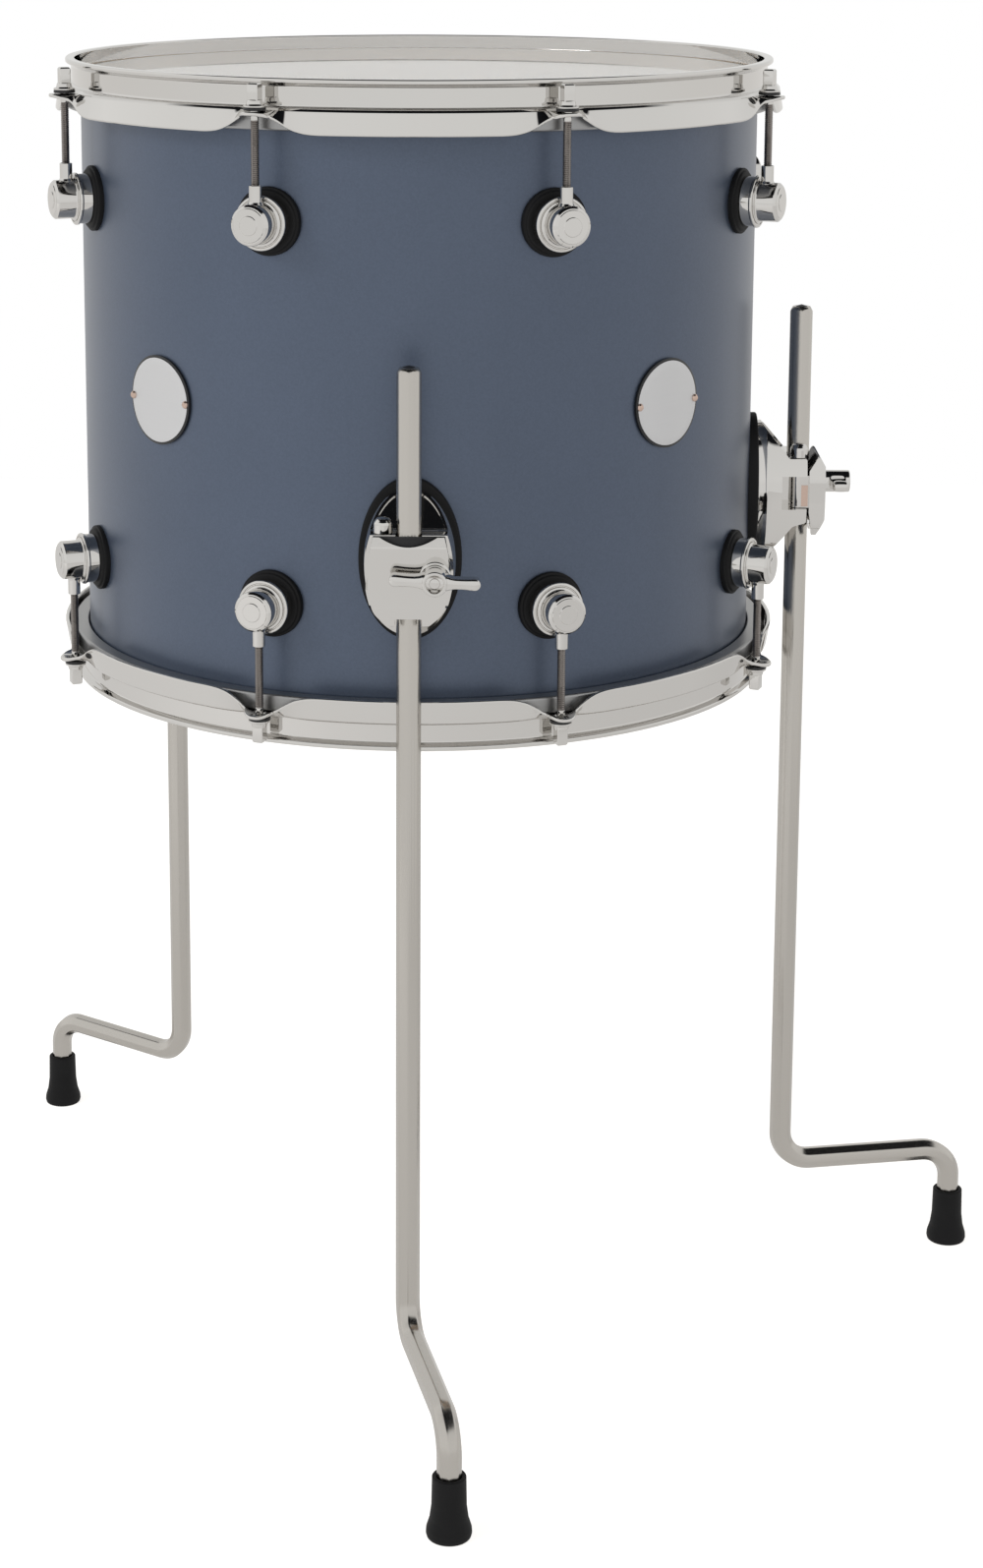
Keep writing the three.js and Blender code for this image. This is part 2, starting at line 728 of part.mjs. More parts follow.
// The origin is the middle of the underside of the whole drum's box.
const floorTom = new THREE.Group();
floorTom.add(makeFloorTom());
const bounds = new THREE.Box3().setFromObject(floorTom, true);
const middle = bounds.getCenter(new THREE.Vector3());
floorTom.position.set(-middle.x, -middle.y, -bounds.min.z);

export default floorTom;
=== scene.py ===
import math

import bmesh
import bpy
from mathutils import Matrix, Vector


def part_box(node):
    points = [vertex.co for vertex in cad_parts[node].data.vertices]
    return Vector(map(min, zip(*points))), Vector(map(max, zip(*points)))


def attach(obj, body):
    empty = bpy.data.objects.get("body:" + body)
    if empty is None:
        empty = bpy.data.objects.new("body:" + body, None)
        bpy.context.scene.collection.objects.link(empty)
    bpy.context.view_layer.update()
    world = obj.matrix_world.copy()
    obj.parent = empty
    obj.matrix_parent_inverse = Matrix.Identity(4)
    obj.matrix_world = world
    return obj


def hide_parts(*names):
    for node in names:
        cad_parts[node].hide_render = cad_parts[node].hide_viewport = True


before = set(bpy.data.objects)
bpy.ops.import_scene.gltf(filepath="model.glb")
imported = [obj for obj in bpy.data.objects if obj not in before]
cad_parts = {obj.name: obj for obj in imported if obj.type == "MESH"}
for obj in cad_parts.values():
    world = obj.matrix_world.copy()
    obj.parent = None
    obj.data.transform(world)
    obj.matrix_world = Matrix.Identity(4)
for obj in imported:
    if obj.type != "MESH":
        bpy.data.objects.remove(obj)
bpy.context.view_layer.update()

# Studio. The drum stands on a white floor, in soft light from all round and one lamp from the left
# that isn't mirrored. What shines also sees a dark ceiling. The camera stands where the
# photograph's did: its place was worked out from the hoops, the shell and the legs.
mm = 0.001
shell_low, shell_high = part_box("shell")
drum_axis = Vector(((shell_low.x + shell_high.x) / 2, (shell_low.y + shell_high.y) / 2, 0))
photo_width, photo_height = 1000, 1595
photo_focal, photo_centre = 3083.6, (410.45, 447.46)
camera_distance = 1829.4 * mm
camera_height = 883.3 * mm
camera_side, camera_yaw, camera_pitch, camera_roll = 1.2225, -0.2845, 10.8825, 0.0652
ambient = "e0e0e0"
ceiling_bands = [(0.0, "ffffff"), (0.7, "fafafa"), (0.77, "1c1d20"), (1.0, "131416")]
wall_bands = [(0.0, "f3f3f2"), (0.4, "f3f3f2"), (0.7, "f8f8f7"), (0.85, "ebebea"), (1.0, "e4e4e2")]
ground_bands = [(0.0, "efefee"), (1.0, "e6e4e1")]
soft_box_left, soft_box_right = 1.04, 0.97
soft_box_edge = 0.9
skyline_low, skyline_high = -0.03, 0.06
key_power = 60
key_size = 1.0
key_place = Vector((-2.5, -1.45, 2.2))
key_aim = Vector((0, 0, 0.45))
floor_colour = "f6f6f6"
floor_glow_colour = "fffdfa"
floor_size = 5
floor_glow = 0.62
floor_strength = 1.35
floor_mirrored = 0.7


def hex_colour(code):
    """An sRGB hex value as a linear colour."""
    parts = [int(code[i : i + 2], 16) / 255 for i in (0, 2, 4)]
    return (*[c / 12.92 if c <= 0.04045 else ((c + 0.055) / 1.055) ** 2.4 for c in parts], 1)


def add_node(tree, kind, sockets=None, **settings):
    """A new node with its settings, and with a value or a link for each socket named."""
    made = tree.nodes.new(kind)
    for name, value in settings.items():
        setattr(made, name, value)
    for name, value in (sockets or {}).items():
        if isinstance(value, bpy.types.NodeSocket):
            tree.links.new(value, made.inputs[name])
        else:
            made.inputs[name].default_value = value
    return made


def set_bands(ramp, bands):
    """A colour ramp node with its bands set from (place, hex colour) pairs."""
    elements = ramp.color_ramp.elements
    while len(elements) < len(bands):
        elements.new(0.5)
    for element, (place, code) in zip(elements, bands):
        element.position = place
        element.color = hex_colour(code)
    return ramp


def bare_tree(holder):
    """The node tree of a material or the world, with nothing in it."""
    holder.use_nodes = True
    holder.node_tree.nodes.clear()
    return holder.node_tree


lens = bpy.data.cameras.new("camera")
lens.sensor_width = 36
lens.lens = lens.sensor_width * photo_focal / photo_height
lens.shift_x = (photo_width / 2 - photo_centre[0]) / photo_height
lens.shift_y = (photo_centre[1] - photo_height / 2) / photo_height
camera = bpy.data.objects.new("camera", lens)
bpy.context.collection.objects.link(camera)
side = math.radians(camera_side)
spot = Vector((camera_distance * math.sin(side), -camera_distance * math.cos(side), camera_height))
camera.matrix_world = (
    Matrix.Translation(drum_axis + spot)
    @ Matrix.Rotation(math.radians(camera_side - camera_yaw), 4, "Z")
    @ Matrix.Rotation(math.radians(90 - camera_pitch), 4, "X")
    @ Matrix.Rotation(math.radians(camera_roll), 4, "Z")
)
bpy.context.scene.camera = camera
bpy.context.scene.view_settings.view_transform = "Standard"

world = bpy.data.worlds.new("studio")
bpy.context.scene.world = world
tree = bare_tree(world)
rays = add_node(tree, "ShaderNodeLightPath")
look = add_node(tree, "ShaderNodeTexCoord")
aim = add_node(tree, "ShaderNodeSeparateXYZ", {"Vector": look.outputs["Generated"]})
backwards = add_node(
    tree, "ShaderNodeMapRange", {"Value": aim.outputs["Y"], "From Min": -1, "From Max": 1}
)
ceiling = set_bands(add_node(tree, "ShaderNodeValToRGB", {"Fac": aim.outputs["Z"]}), ceiling_bands)
wall = set_bands(add_node(tree, "ShaderNodeValToRGB", {"Fac": backwards.outputs[0]}), wall_bands)
ground = set_bands(add_node(tree, "ShaderNodeValToRGB", {"Fac": backwards.outputs[0]}), ground_bands)
soft_boxes = add_node(
    tree,
    "ShaderNodeMapRange",
    {
        "Value": aim.outputs["X"],
        "From Min": -soft_box_edge,
        "From Max": soft_box_edge,
        "To Min": soft_box_left,
        "To Max": soft_box_right,
    },
)
bright_wall = add_node(
    tree,
    "ShaderNodeVectorMath",
    {0: wall.outputs["Color"], "Scale": soft_boxes.outputs[0]},
    operation="SCALE",
)
above = add_node(
    tree,
    "ShaderNodeMapRange",
    {"Value": aim.outputs["Z"], "From Min": skyline_low, "From Max": skyline_high},
)
sides = add_node(
    tree,
    "ShaderNodeMix",
    {0: above.outputs[0], 6: ground.outputs["Color"], 7: bright_wall.outputs[0]},
    data_type="RGBA",
)
mirrored = add_node(
    tree,
    "ShaderNodeMix",
    {0: 1.0, 6: ceiling.outputs["Color"], 7: sides.outputs[2]},
    data_type="RGBA",
    blend_type="MULTIPLY",
)
lit = add_node(
    tree,
    "ShaderNodeMix",
    {0: rays.outputs["Is Glossy Ray"], 6: hex_colour(ambient), 7: mirrored.outputs[2]},
    data_type="RGBA",
)
shown = add_node(
    tree,
    "ShaderNodeMath",
    {0: rays.outputs["Is Camera Ray"], 1: rays.outputs["Is Transmission Ray"]},
    operation="MAXIMUM",
)
seen = add_node(
    tree,
    "ShaderNodeMix",
    {0: shown.outputs[0], 6: lit.outputs[2], 7: hex_colour("ffffff")},
    data_type="RGBA",
)
sky = add_node(tree, "ShaderNodeBackground", {"Color": seen.outputs[2]})
add_node(tree, "ShaderNodeOutputWorld", {"Surface": sky.outputs[0]})

floor_paint = bpy.data.materials.new("white studio floor")
tree = bare_tree(floor_paint)
rays = add_node(tree, "ShaderNodeLightPath")
straight = add_node(
    tree,
    "ShaderNodeMath",
    {0: rays.outputs["Is Camera Ray"], 1: rays.outputs["Is Transmission Ray"]},
    operation="MAXIMUM",
)
mirrored = add_node(
    tree,
    "ShaderNodeMath",
    {0: straight.outputs[0], 1: rays.outputs["Is Glossy Ray"]},
    operation="MAXIMUM",
)
share = add_node(tree, "ShaderNodeMath", {0: mirrored.outputs[0], 1: floor_glow}, operation="MULTIPLY")
matt = add_node(tree, "ShaderNodeBsdfDiffuse", {"Color": hex_colour(floor_colour)})
level = add_node(
    tree,
    "ShaderNodeMapRange",
    {"Value": rays.outputs["Is Glossy Ray"], "To Min": floor_strength, "To Max": floor_mirrored},
)
glow = add_node(
    tree,
    "ShaderNodeEmission",
    {"Color": hex_colour(floor_glow_colour), "Strength": level.outputs[0]},
)
floor_mix = add_node(
    tree, "ShaderNodeMixShader", {0: share.outputs[0], 1: matt.outputs[0], 2: glow.outputs[0]}
)
add_node(tree, "ShaderNodeOutputMaterial", {"Surface": floor_mix.outputs[0]})
ground_plane = bmesh.new()
bmesh.ops.create_grid(ground_plane, x_segments=1, y_segments=1, size=floor_size / 2)
floor_mesh = bpy.data.meshes.new("floor")
ground_plane.to_mesh(floor_mesh)
floor_mesh.materials.append(floor_paint)
floor = bpy.data.objects.new("floor", floor_mesh)
bpy.context.collection.objects.link(floor)

key_light = bpy.data.lights.new("key", "AREA")
key_light.energy = key_power
key_light.size = key_size
key = bpy.data.objects.new("key", key_light)
key.visible_glossy = False
bpy.context.collection.objects.link(key)
key.location = key_place
key.rotation_euler = (key_aim - key_place).to_track_quat("-Z", "Y").to_euler()

# Shell: laminated maple, rolled and glued, with a 45 degree bearing edge cut into each rim and
# the outer corner eased. Its outside carries a satin metallic lacquer, sprayed and rubbed down;
# the inside and the edges are bare maple under a thin sealer.
lacquer_dark, lacquer_light = "4d586a", "535e71"
maple_pale, maple_brown, maple_glue = "e3c79b", "c49c68", "8f6a40"
shell_radius = 202.4
shell_wall = 7.2
shell_depth = 352.4
shell_foot = 405.3
shell_top = shell_foot + shell_depth
bearing_cut = 6
bearing_round = 1.2
edge_round = 0.8
crown_round = 0.6
vent_radius = 5
vent_margin = 2
vent_drill_length = 260
shell_sides = 256
lacquer_depth = 0.3
flake_size = 0.9 * mm
flake_depth = 0.02 * mm
cloud_size = 71.4 * mm
ply_thickness = 1.2 * mm
wood_grain = 3 * mm
grain_stretch = 0.06
grain_depth = 0.05 * mm
reach_share = 0.44
rest_share = 0.04
merge_distance = 0.001
crease_angle = 38
bevel_angle = 32
bevel_steps = 3


def rounded(corners, closed=False, steps=4, hold=0.15):
    """Outline through (x, y, radius) corners. Each corner becomes an arc, with a point just
    outside each end of it, so that the straight stretches shade flat."""
    outline = []
    for i, (x, y, radius) in enumerate(corners):
        corner = Vector((x, y))
        if radius == 0 or (not closed and i in (0, len(corners) - 1)):
            outline.append(corner)
            continue
        before = Vector(corners[i - 1][:2]) - corner
        after = Vector(corners[(i + 1) % len(corners)][:2]) - corner
        half_angle = before.angle(after) / 2
        room = min(before.length, after.length)
        reach = min(radius / math.tan(half_angle), room * reach_share)
        rest = min(hold, room * rest_share)
        before.normalize()
        after.normalize()
        middle = corner + (before + after).normalized() * reach / math.cos(half_angle)
        start = corner + before * reach - middle
        end = corner + after * reach - middle
        swing = math.atan2(start.x * end.y - start.y * end.x, start.dot(end))
        outline.append(corner + before * (reach + rest))
        for k in range(steps + 1):
            outline.append(middle + Matrix.Rotation(swing * k / steps, 2) @ start)
        outline.append(corner + after * (reach + rest))
    return outline


def finished(shape):
    """The mesh of a bmesh: doubles merged, faces outwards, smooth but for its sharp edges."""
    bmesh.ops.remove_doubles(shape, verts=shape.verts, dist=merge_distance)
    bmesh.ops.recalc_face_normals(shape, faces=shape.faces)
    mesh = bpy.data.meshes.new("shape")
    shape.to_mesh(mesh)
    shape.free()
    mesh.shade_smooth()
    mesh.set_sharp_from_angle(angle=math.radians(crease_angle))
    return mesh


def skin(rings, loop=False):
    """A closed mesh over rings of equally many points, with flat ends unless it is a loop."""
    shape = bmesh.new()
    rows = [[shape.verts.new(point) for point in ring] for ring in rings]
    for first, second in zip(rows, rows[1:] + (rows[:1] if loop else [])):
        for i, corner in enumerate(first):
            j = (i + 1) % len(first)
            shape.faces.new((corner, first[j], second[j], second[i]))
    for row in [] if loop else (rows[0], rows[-1]):
        if (row[0].co - row[1].co).length > merge_distance:
            shape.faces.new(row)
    return finished(shape)


def turned(profile, sides=96, loop=False):
    """A profile of (radius, height) points turned round the upright axis."""
    turns = [2 * math.pi * i / sides for i in range(sides)]
    rings = [[(r * math.cos(a), r * math.sin(a), h) for a in turns] for r, h in profile]
    return skin(rings, loop)


def moved(mesh, *places):
    """A copy of a mesh, moved by each matrix in turn."""
    copy = mesh.copy()
    for place in places:
        copy.transform(place)
    return copy


outward = Matrix.Rotation(math.pi / 2, 4, "X")
upside_down = Matrix.Rotation(math.pi, 4, "Y")


def carved(mesh, *steps, edge=0.0):
    """A mesh after each (operation, tool) in turn, with its edges then rounded."""
    block = bpy.data.objects.new("block", mesh.copy())
    bpy.context.collection.objects.link(block)
    helpers = [block]
    for operation, tool in steps:
        holder = bpy.data.objects.new("tool", tool)
        bpy.context.collection.objects.link(holder)
        helpers.append(holder)
        cut = block.modifiers.new("cut", "BOOLEAN")
        cut.operation = operation
        cut.solver = "EXACT"
        cut.object = holder
    if edge:
        round_over = block.modifiers.new("edges", "BEVEL")
        round_over.width = edge
        round_over.segments = bevel_steps
        round_over.limit_method = "ANGLE"
        round_over.angle_limit = math.radians(bevel_angle)
        round_over.harden_normals = True
    bpy.context.view_layer.update()
    evaluated = bpy.context.evaluated_depsgraph_get()
    result = bpy.data.meshes.new_from_object(
        block.evaluated_get(evaluated), preserve_all_data_layers=True, depsgraph=evaluated
    )
    for helper in helpers:
        bpy.data.objects.remove(helper)
    return result


def tinted(mesh, finish):
    """The mesh with all its faces given the finish of that number."""
    for face in mesh.polygons:
        face.material_index = finish
    return mesh


def joined(*meshes):
    """Several closed meshes as one."""
    shape = bmesh.new()
    for mesh in meshes:
        shape.from_mesh(mesh)
    return finished(shape)


def at(angle, height=0):
    """The place of a shape that is made at the drum's front, where -Y is outwards."""
    lift = Matrix.Translation(drum_axis + Vector((0, 0, height * mm)))
    return lift @ Matrix.Rotation(math.radians(angle), 4, "Z") @ Matrix.Scale(mm, 4)


def piece(name, mesh, finishes, body, nodes=(), pick=None):
    """An object from a mesh that is already in place, on its body. pick gives the number of a
    face's finish."""
    made = bpy.data.objects.new(name, mesh)
    bpy.context.collection.objects.link(made)
    mesh.name = name
    finish_numbers = [pick(face) if pick else face.material_index for face in mesh.polygons]
    mesh.materials.clear()
    for finish in finishes:
        mesh.materials.append(finish)
    mesh.polygons.foreach_set("material_index", [min(n, len(finishes) - 1) for n in finish_numbers])
    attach(made, body)
    if nodes:
        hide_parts(*nodes)
    return made


def new_finish(name):
    """A material, its node tree, still empty, and the coordinates of the piece that wears it."""
    material = bpy.data.materials.new(name)
    tree = bare_tree(material)
    return material, tree, add_node(tree, "ShaderNodeTexCoord").outputs["Object"]


def surfaced(tree, sockets):
    """Ends a material's tree in its shader, with a value or a link for each socket named."""
    shader = add_node(tree, "ShaderNodeBsdfPrincipled", sockets)
    add_node(tree, "ShaderNodeOutputMaterial", {"Surface": shader.outputs[0]})


# Satin metallic lacquer, sprayed: aluminium flakes under slate-blue dye. The flakes make it
# speckle close up and turn paler towards the sides; the clear coat is flatted, so it never
# mirrors. Real flakes are far finer and are drawn this coarse so that they show.
lacquer, tree, where = new_finish("sprayed metallic lacquer")
flakes = add_node(tree, "ShaderNodeTexVoronoi", {"Vector": where, "Scale": 1 / flake_size})
flake_shade = add_node(
    tree,
    "ShaderNodeMapRange",
    {"Value": flakes.outputs["Color"], "To Min": 0.93, "To Max": 1.07},
)
clouds = add_node(
    tree,
    "ShaderNodeTexNoise",
    {"Vector": where, "Scale": 1 / cloud_size, "Detail": 3, "Roughness": 0.5},
)
slate = add_node(
    tree,
    "ShaderNodeMix",
    {0: clouds.outputs["Fac"], 6: hex_colour(lacquer_dark), 7: hex_colour(lacquer_light)},
    data_type="RGBA",
)
speckled = add_node(
    tree,
    "ShaderNodeVectorMath",
    {0: slate.outputs[2], "Scale": flake_shade.outputs[0]},
    operation="SCALE",
)
flake_bump = add_node(
    tree, "ShaderNodeBump", {"Height": flakes.outputs["Distance"], "Distance": flake_depth}
)
surfaced(
    tree,
    {
        "Base Color": speckled.outputs[0],
        "Metallic": 0.72,
        "Roughness": 0.42,
        "Coat Weight": 0.5,
        "Coat Roughness": 0.32,
        "Normal": flake_bump.outputs[0],
    },
)

# Bare maple, sealed: pale and close-grained, with long thin figure up the drum and its glued
# plies showing as rings on the bearing edge.
maple, tree, where = new_finish("sealed maple")
centred = add_node(
    tree,
    "ShaderNodeMapping",
    {"Vector": where, "Location": -drum_axis, "Scale": (1, 1, grain_stretch)},
)
figure = add_node(
    tree,
    "ShaderNodeTexNoise",
    {"Vector": centred.outputs[0], "Scale": 1 / wood_grain, "Detail": 6, "Distortion": 0.4},
)
flat = add_node(
    tree, "ShaderNodeVectorMath", {0: centred.outputs[0], 1: (1, 1, 0)}, operation="MULTIPLY"
)
out = add_node(tree, "ShaderNodeVectorMath", {0: flat.outputs[0]}, operation="LENGTH")
plies = add_node(
    tree,
    "ShaderNodeMath",
    {0: out.outputs["Value"], 1: 2 * math.pi / ply_thickness},
    operation="MULTIPLY",
)
rings = add_node(tree, "ShaderNodeMath", {0: plies.outputs[0]}, operation="SINE")
ring_shade = add_node(
    tree, "ShaderNodeMapRange", {"Value": rings.outputs[0], "From Min": 0.7, "To Max": 0.5}
)
wood = add_node(
    tree,
    "ShaderNodeMix",
    {0: figure.outputs["Fac"], 6: hex_colour(maple_pale), 7: hex_colour(maple_brown)},
    data_type="RGBA",
)
layered = add_node(
    tree,
    "ShaderNodeMix",
    {0: ring_shade.outputs[0], 6: wood.outputs[2], 7: hex_colour(maple_glue)},
    data_type="RGBA",
)
figure_bump = add_node(
    tree, "ShaderNodeBump", {"Height": figure.outputs["Fac"], "Distance": grain_depth}
)
surfaced(
    tree,
    {
        "Base Color": layered.outputs[2],
        "Roughness": 0.48,
        "Coat Weight": 0.15,
        "Normal": figure_bump.outputs[0],
    },
)

inner_radius = shell_radius - shell_wall
vent_low = shell_depth / 2 - vent_radius - vent_margin
vent_high = shell_depth / 2 + vent_radius + vent_margin
rim = [
    (inner_radius, bearing_cut, edge_round),
    (shell_radius - bearing_round, 0, crown_round),
    (shell_radius, bearing_round, edge_round),
    (shell_radius, vent_low, 0),
    (shell_radius, vent_high, 0),
    (shell_radius, shell_depth - bearing_round, edge_round),
    (shell_radius - bearing_round, shell_depth, crown_round),
    (inner_radius, shell_depth - bearing_cut, edge_round),
    (inner_radius, vent_high, 0),
    (inner_radius, vent_low, 0),
]
vent_drill = moved(
    turned([(0, 0), (vent_radius, 0), (vent_radius, vent_drill_length), (0, vent_drill_length)], 32),
    outward,
    Matrix.Rotation(math.pi, 4, "Z"),
    Matrix.Translation((0, 0, shell_depth / 2)),
)
shell_shape = carved(
    turned(rounded(rim, closed=True), shell_sides, loop=True), ("DIFFERENCE", vent_drill)
)


def shell_finish(face):
    """Lacquer outside, maple on the edges and the inside."""
    return 0 if (face.center.xy - drum_axis.xy).length > (shell_radius - lacquer_depth) * mm else 1


piece(
    "drum_shell",
    moved(shell_shape, at(0, shell_foot)),
    [lacquer, maple],
    "drum",
    ["shell"],
    shell_finish,
)

# Hoops: steel strip, rolled and pressed with three flanges, then polished and chromed. A rolled
# lip tops a wall that stands clear of the head, a ledge bears on the head's own hoop, and a
# skirt hides it. At each rod the skirt turns up into a flat ear with a round hole.
rod_angles = [22.5 + 45 * k for k in range(8)]
chrome_colour = "d5d3d0"
haze_patch = 22.2 * mm
polish_wave = 6.25 * mm
polish_depth = 0.01 * mm
lip_rise = 9.3
lip_height = 4.4
lip_roll = 1.9
hoop_sheet = 2.3
hoop_height = 30.1
ledge_drop = 15.9
hoop_wall_radius = 208
lip_radius = 211.2
skirt_top_radius = 215.4
skirt_edge_radius = 217.5
skirt_shoulder = 1.8
ear_drop = 17.3
ear_radius = 9
ear_flat = 2
ear_width = 15
ear_reach = 36
ear_fillet_share = 0.45
press_round = 0.9
press_bend = 1.2
press_ease = 1
ear_seat_room = 3
ear_hole_radius = 3.3
rod_circle = 219
ear_steps = 48
plain_steps = 8
ear_turns = 40

# Chromium on nickel on steel: a hard mirror, faintly warm. It is never quite even: fine
# polishing waves bend what it reflects, and handling leaves it a little hazy in patches.
chrome, tree, where = new_finish("polished chrome plate")
haze = add_node(tree, "ShaderNodeTexNoise", {"Vector": where, "Scale": 1 / haze_patch, "Detail": 4})
haze_range = add_node(
    tree,
    "ShaderNodeMapRange",
    {"Value": haze.outputs["Fac"], "From Min": 0.35, "From Max": 0.75, "To Min": 0.02, "To Max": 0.055},
)
waves = add_node(
    tree, "ShaderNodeTexNoise", {"Vector": where, "Scale": 1 / polish_wave, "Detail": 2}
)
wave_bump = add_node(
    tree, "ShaderNodeBump", {"Height": waves.outputs["Fac"], "Distance": polish_depth}
)
surfaced(
    tree,
    {
        "Base Color": hex_colour(chrome_colour),
        "Metallic": 1.0,
        "Roughness": haze_range.outputs[0],
        "Normal": wave_bump.outputs[0],
    },
)


def hoop_section(flare, ear_edge):
    """Section of the strip, from the plain skirt at flare 0 to the flat ear at flare 1."""
    bend = skirt_top_radius - flare * ear_seat_room
    wall_inner = hoop_wall_radius - hoop_sheet
    under = -ledge_drop - hoop_sheet
    edge = skirt_edge_radius + flare * (ear_edge - skirt_edge_radius)
    inner = edge - (1 - flare) * hoop_sheet
    foot = -hoop_height + flare * (hoop_height - ear_drop)
    return rounded(
        [
            (wall_inner, under, press_round),
            (wall_inner, 0, press_round),
            (lip_radius, 0, lip_roll),
            (lip_radius, lip_roll - lip_height, press_ease),
            (hoop_wall_radius, -lip_height, press_ease),
            (hoop_wall_radius, -ledge_drop, press_bend),
            (bend - skirt_shoulder, -ledge_drop, press_ease),
            (bend, -ear_drop, press_bend),
            (edge, foot, press_round),
            (inner, foot - flare * hoop_sheet, press_round),
            (skirt_top_radius - hoop_sheet, under, press_round),
        ],
        closed=True,
        steps=3,
        hold=0.1,
    )


def ear_fall(along):
    """How much of the ear is left at a distance along the hoop: 1 is a flat ear, 0 plain skirt."""
    return math.exp(-((max(along - ear_flat, 0) / ear_width) ** 2))


def ear_stations():
    """Sections round one ear, each with its distance along the hoop. The edge follows the
    ear's round end and the skirt's fall at once, so it runs out in one smooth curve."""
    places = []
    for k in range(ear_steps + 1):
        along = ear_reach * k / ear_steps
        left = max(ear_fall(along) - ear_fall(ear_reach) * k / ear_steps, 0)
        round_end = math.sqrt(max(ear_radius**2 - along**2, 0))
        fillet = ear_radius * math.exp(-((along / ear_radius) ** 3)) * ear_fillet_share
        places.append((along, hoop_section(left, rod_circle + max(round_end, fillet))))
    return [(-along, section) for along, section in reversed(places[1:])] + places


ear_places = ear_stations()
last_along, plain_section = ear_places[-1]
bay = 2 * math.pi / len(rod_angles)
plain_turn = bay - 2 * last_along / rod_circle
hoop_rings = []
for angle in rod_angles:
    middle = math.radians(angle)
    stations = [(middle + along / rod_circle, section) for along, section in ear_places]
    start = stations[-1][0]
    for k in range(1, plain_steps):
        stations.append((start + plain_turn * k / plain_steps, plain_section))
    for turn, section in stations:
        hoop_rings.append([(r * math.sin(turn), -r * math.cos(turn), h) for r, h in section])
drill_foot = -hoop_height
ear_drill = turned(
    [(0, drill_foot), (ear_hole_radius, drill_foot), (ear_hole_radius, 0), (0, 0)], ear_turns
)
ear_drills = joined(
    *[
        moved(
            ear_drill,
            Matrix.Translation((0, -rod_circle, 0)),
            Matrix.Rotation(math.radians(angle), 4, "Z"),
        )
        for angle in rod_angles
    ]
)
hoop_shape = carved(skin(hoop_rings, loop=True), ("DIFFERENCE", ear_drills))
top_hoop_place = at(0, shell_top + lip_rise)
bottom_hoop_place = at(0, shell_foot - lip_rise) @ upside_down
for end, place in (("top", top_hoop_place), ("bottom", bottom_hoop_place)):
    body, node = f"{end}_hoop_and_head", f"{end}_hoop"
    piece(f"{node}_steel", moved(hoop_shape, place), [chrome], body, [node])

# Heads: clear polyester film, heat-formed with a collar over the bearing edge and set with resin
# into an aluminium channel, the head's own hoop. The drum's hoops press on the channels and
# stretch the films over the shell's two edges.
film_colour = "fcfcfb"
aluminium_grey_and_painted_shade = "a3a3a3"
rub_size = 33.3 * mm
die_line_length = 16.7 * mm
die_line_share = 40
die_line_depth = 0.03 * mm
film_top = 0.8
film_thickness = 0.3
collar_radius = 203
collar_foot = 204.6
film_end = -9.6
channel_radius = 212
channel_inner = 203.2
channel_top = -9.1
channel_height = 10
collar_bend = 1.6
film_edge = 0.1
channel_outer_round = 1.5
channel_inner_round = 0.7

# Clear polyester film, heat-formed: smooth and glossy, a mirror when seen along its plane, with
# faint hazy patches where it has been rubbed.
clear_film, tree, where = new_finish("heat-formed polyester film")
rubs = add_node(tree, "ShaderNodeTexNoise", {"Vector": where, "Scale": 1 / rub_size, "Detail": 5})
rub_range = add_node(
    tree, "ShaderNodeMapRange", {"Value": rubs.outputs["Fac"], "To Min": 0.01, "To Max": 0.05}
)
surfaced(
    tree,
    {
        "Base Color": hex_colour(film_colour),
        "IOR": 1.6,
        "Transmission Weight": 0.97,
        "Roughness": rub_range.outputs[0],
    },
)

# Extruded aluminium: grey, made darker with painted shade where the channel lies in shadow, with fine lines
# from the die running round the channel. They are drawn coarser than real ones, so that they show.
extruded_aluminium, tree, where = new_finish("extruded aluminium")
drawn = add_node(tree, "ShaderNodeMapping", {"Vector": where, "Scale": (1, 1, die_line_share)})
lines = add_node(
    tree, "ShaderNodeTexNoise", {"Vector": drawn.outputs[0], "Scale": 1 / die_line_length}
)
line_bump = add_node(
    tree, "ShaderNodeBump", {"Height": lines.outputs["Fac"], "Distance": die_line_depth}
)
surfaced(
    tree,
    {
        # This base colour is the metal's grey darkened by painted shade, for the channel's shadow.
        "Base Color": hex_colour(aluminium_grey_and_painted_shade),
        "Metallic": 1.0,
        "Roughness": 0.34,
        "Normal": line_bump.outputs[0],
    },
)

film_under = film_top - film_thickness
film_profile = rounded(
    [
        (0, film_top, 0),
        (collar_radius, film_top, collar_bend),
        (collar_foot, film_end, film_edge),
        (collar_foot - film_thickness, film_end, film_edge),
        (collar_radius - film_thickness, film_under, collar_bend - film_thickness),
        (0, film_under, 0),
    ]
)
film_shape = turned(film_profile, shell_sides)
channel_foot = channel_top - channel_height
channel_shape = turned(
    rounded(
        [
            (channel_inner, channel_top, channel_inner_round),
            (channel_radius, channel_top, channel_outer_round),
            (channel_radius, channel_foot, channel_outer_round),
            (channel_inner, channel_foot, channel_inner_round),
        ],
        closed=True,
    ),
    shell_sides,
    loop=True,
)
for end, place, node in (
    ("top", at(0, shell_top), "batter_head"),
    ("bottom", at(0, shell_foot) @ upside_down, "resonant_head"),
):
    body = f"{end}_hoop_and_head"
    piece(f"{node}_film", moved(film_shape, place), [clear_film], body, [node])
    channel = moved(channel_shape, place)
    piece(f"{node}_flesh_hoop", channel, [extruded_aluminium], body, [])

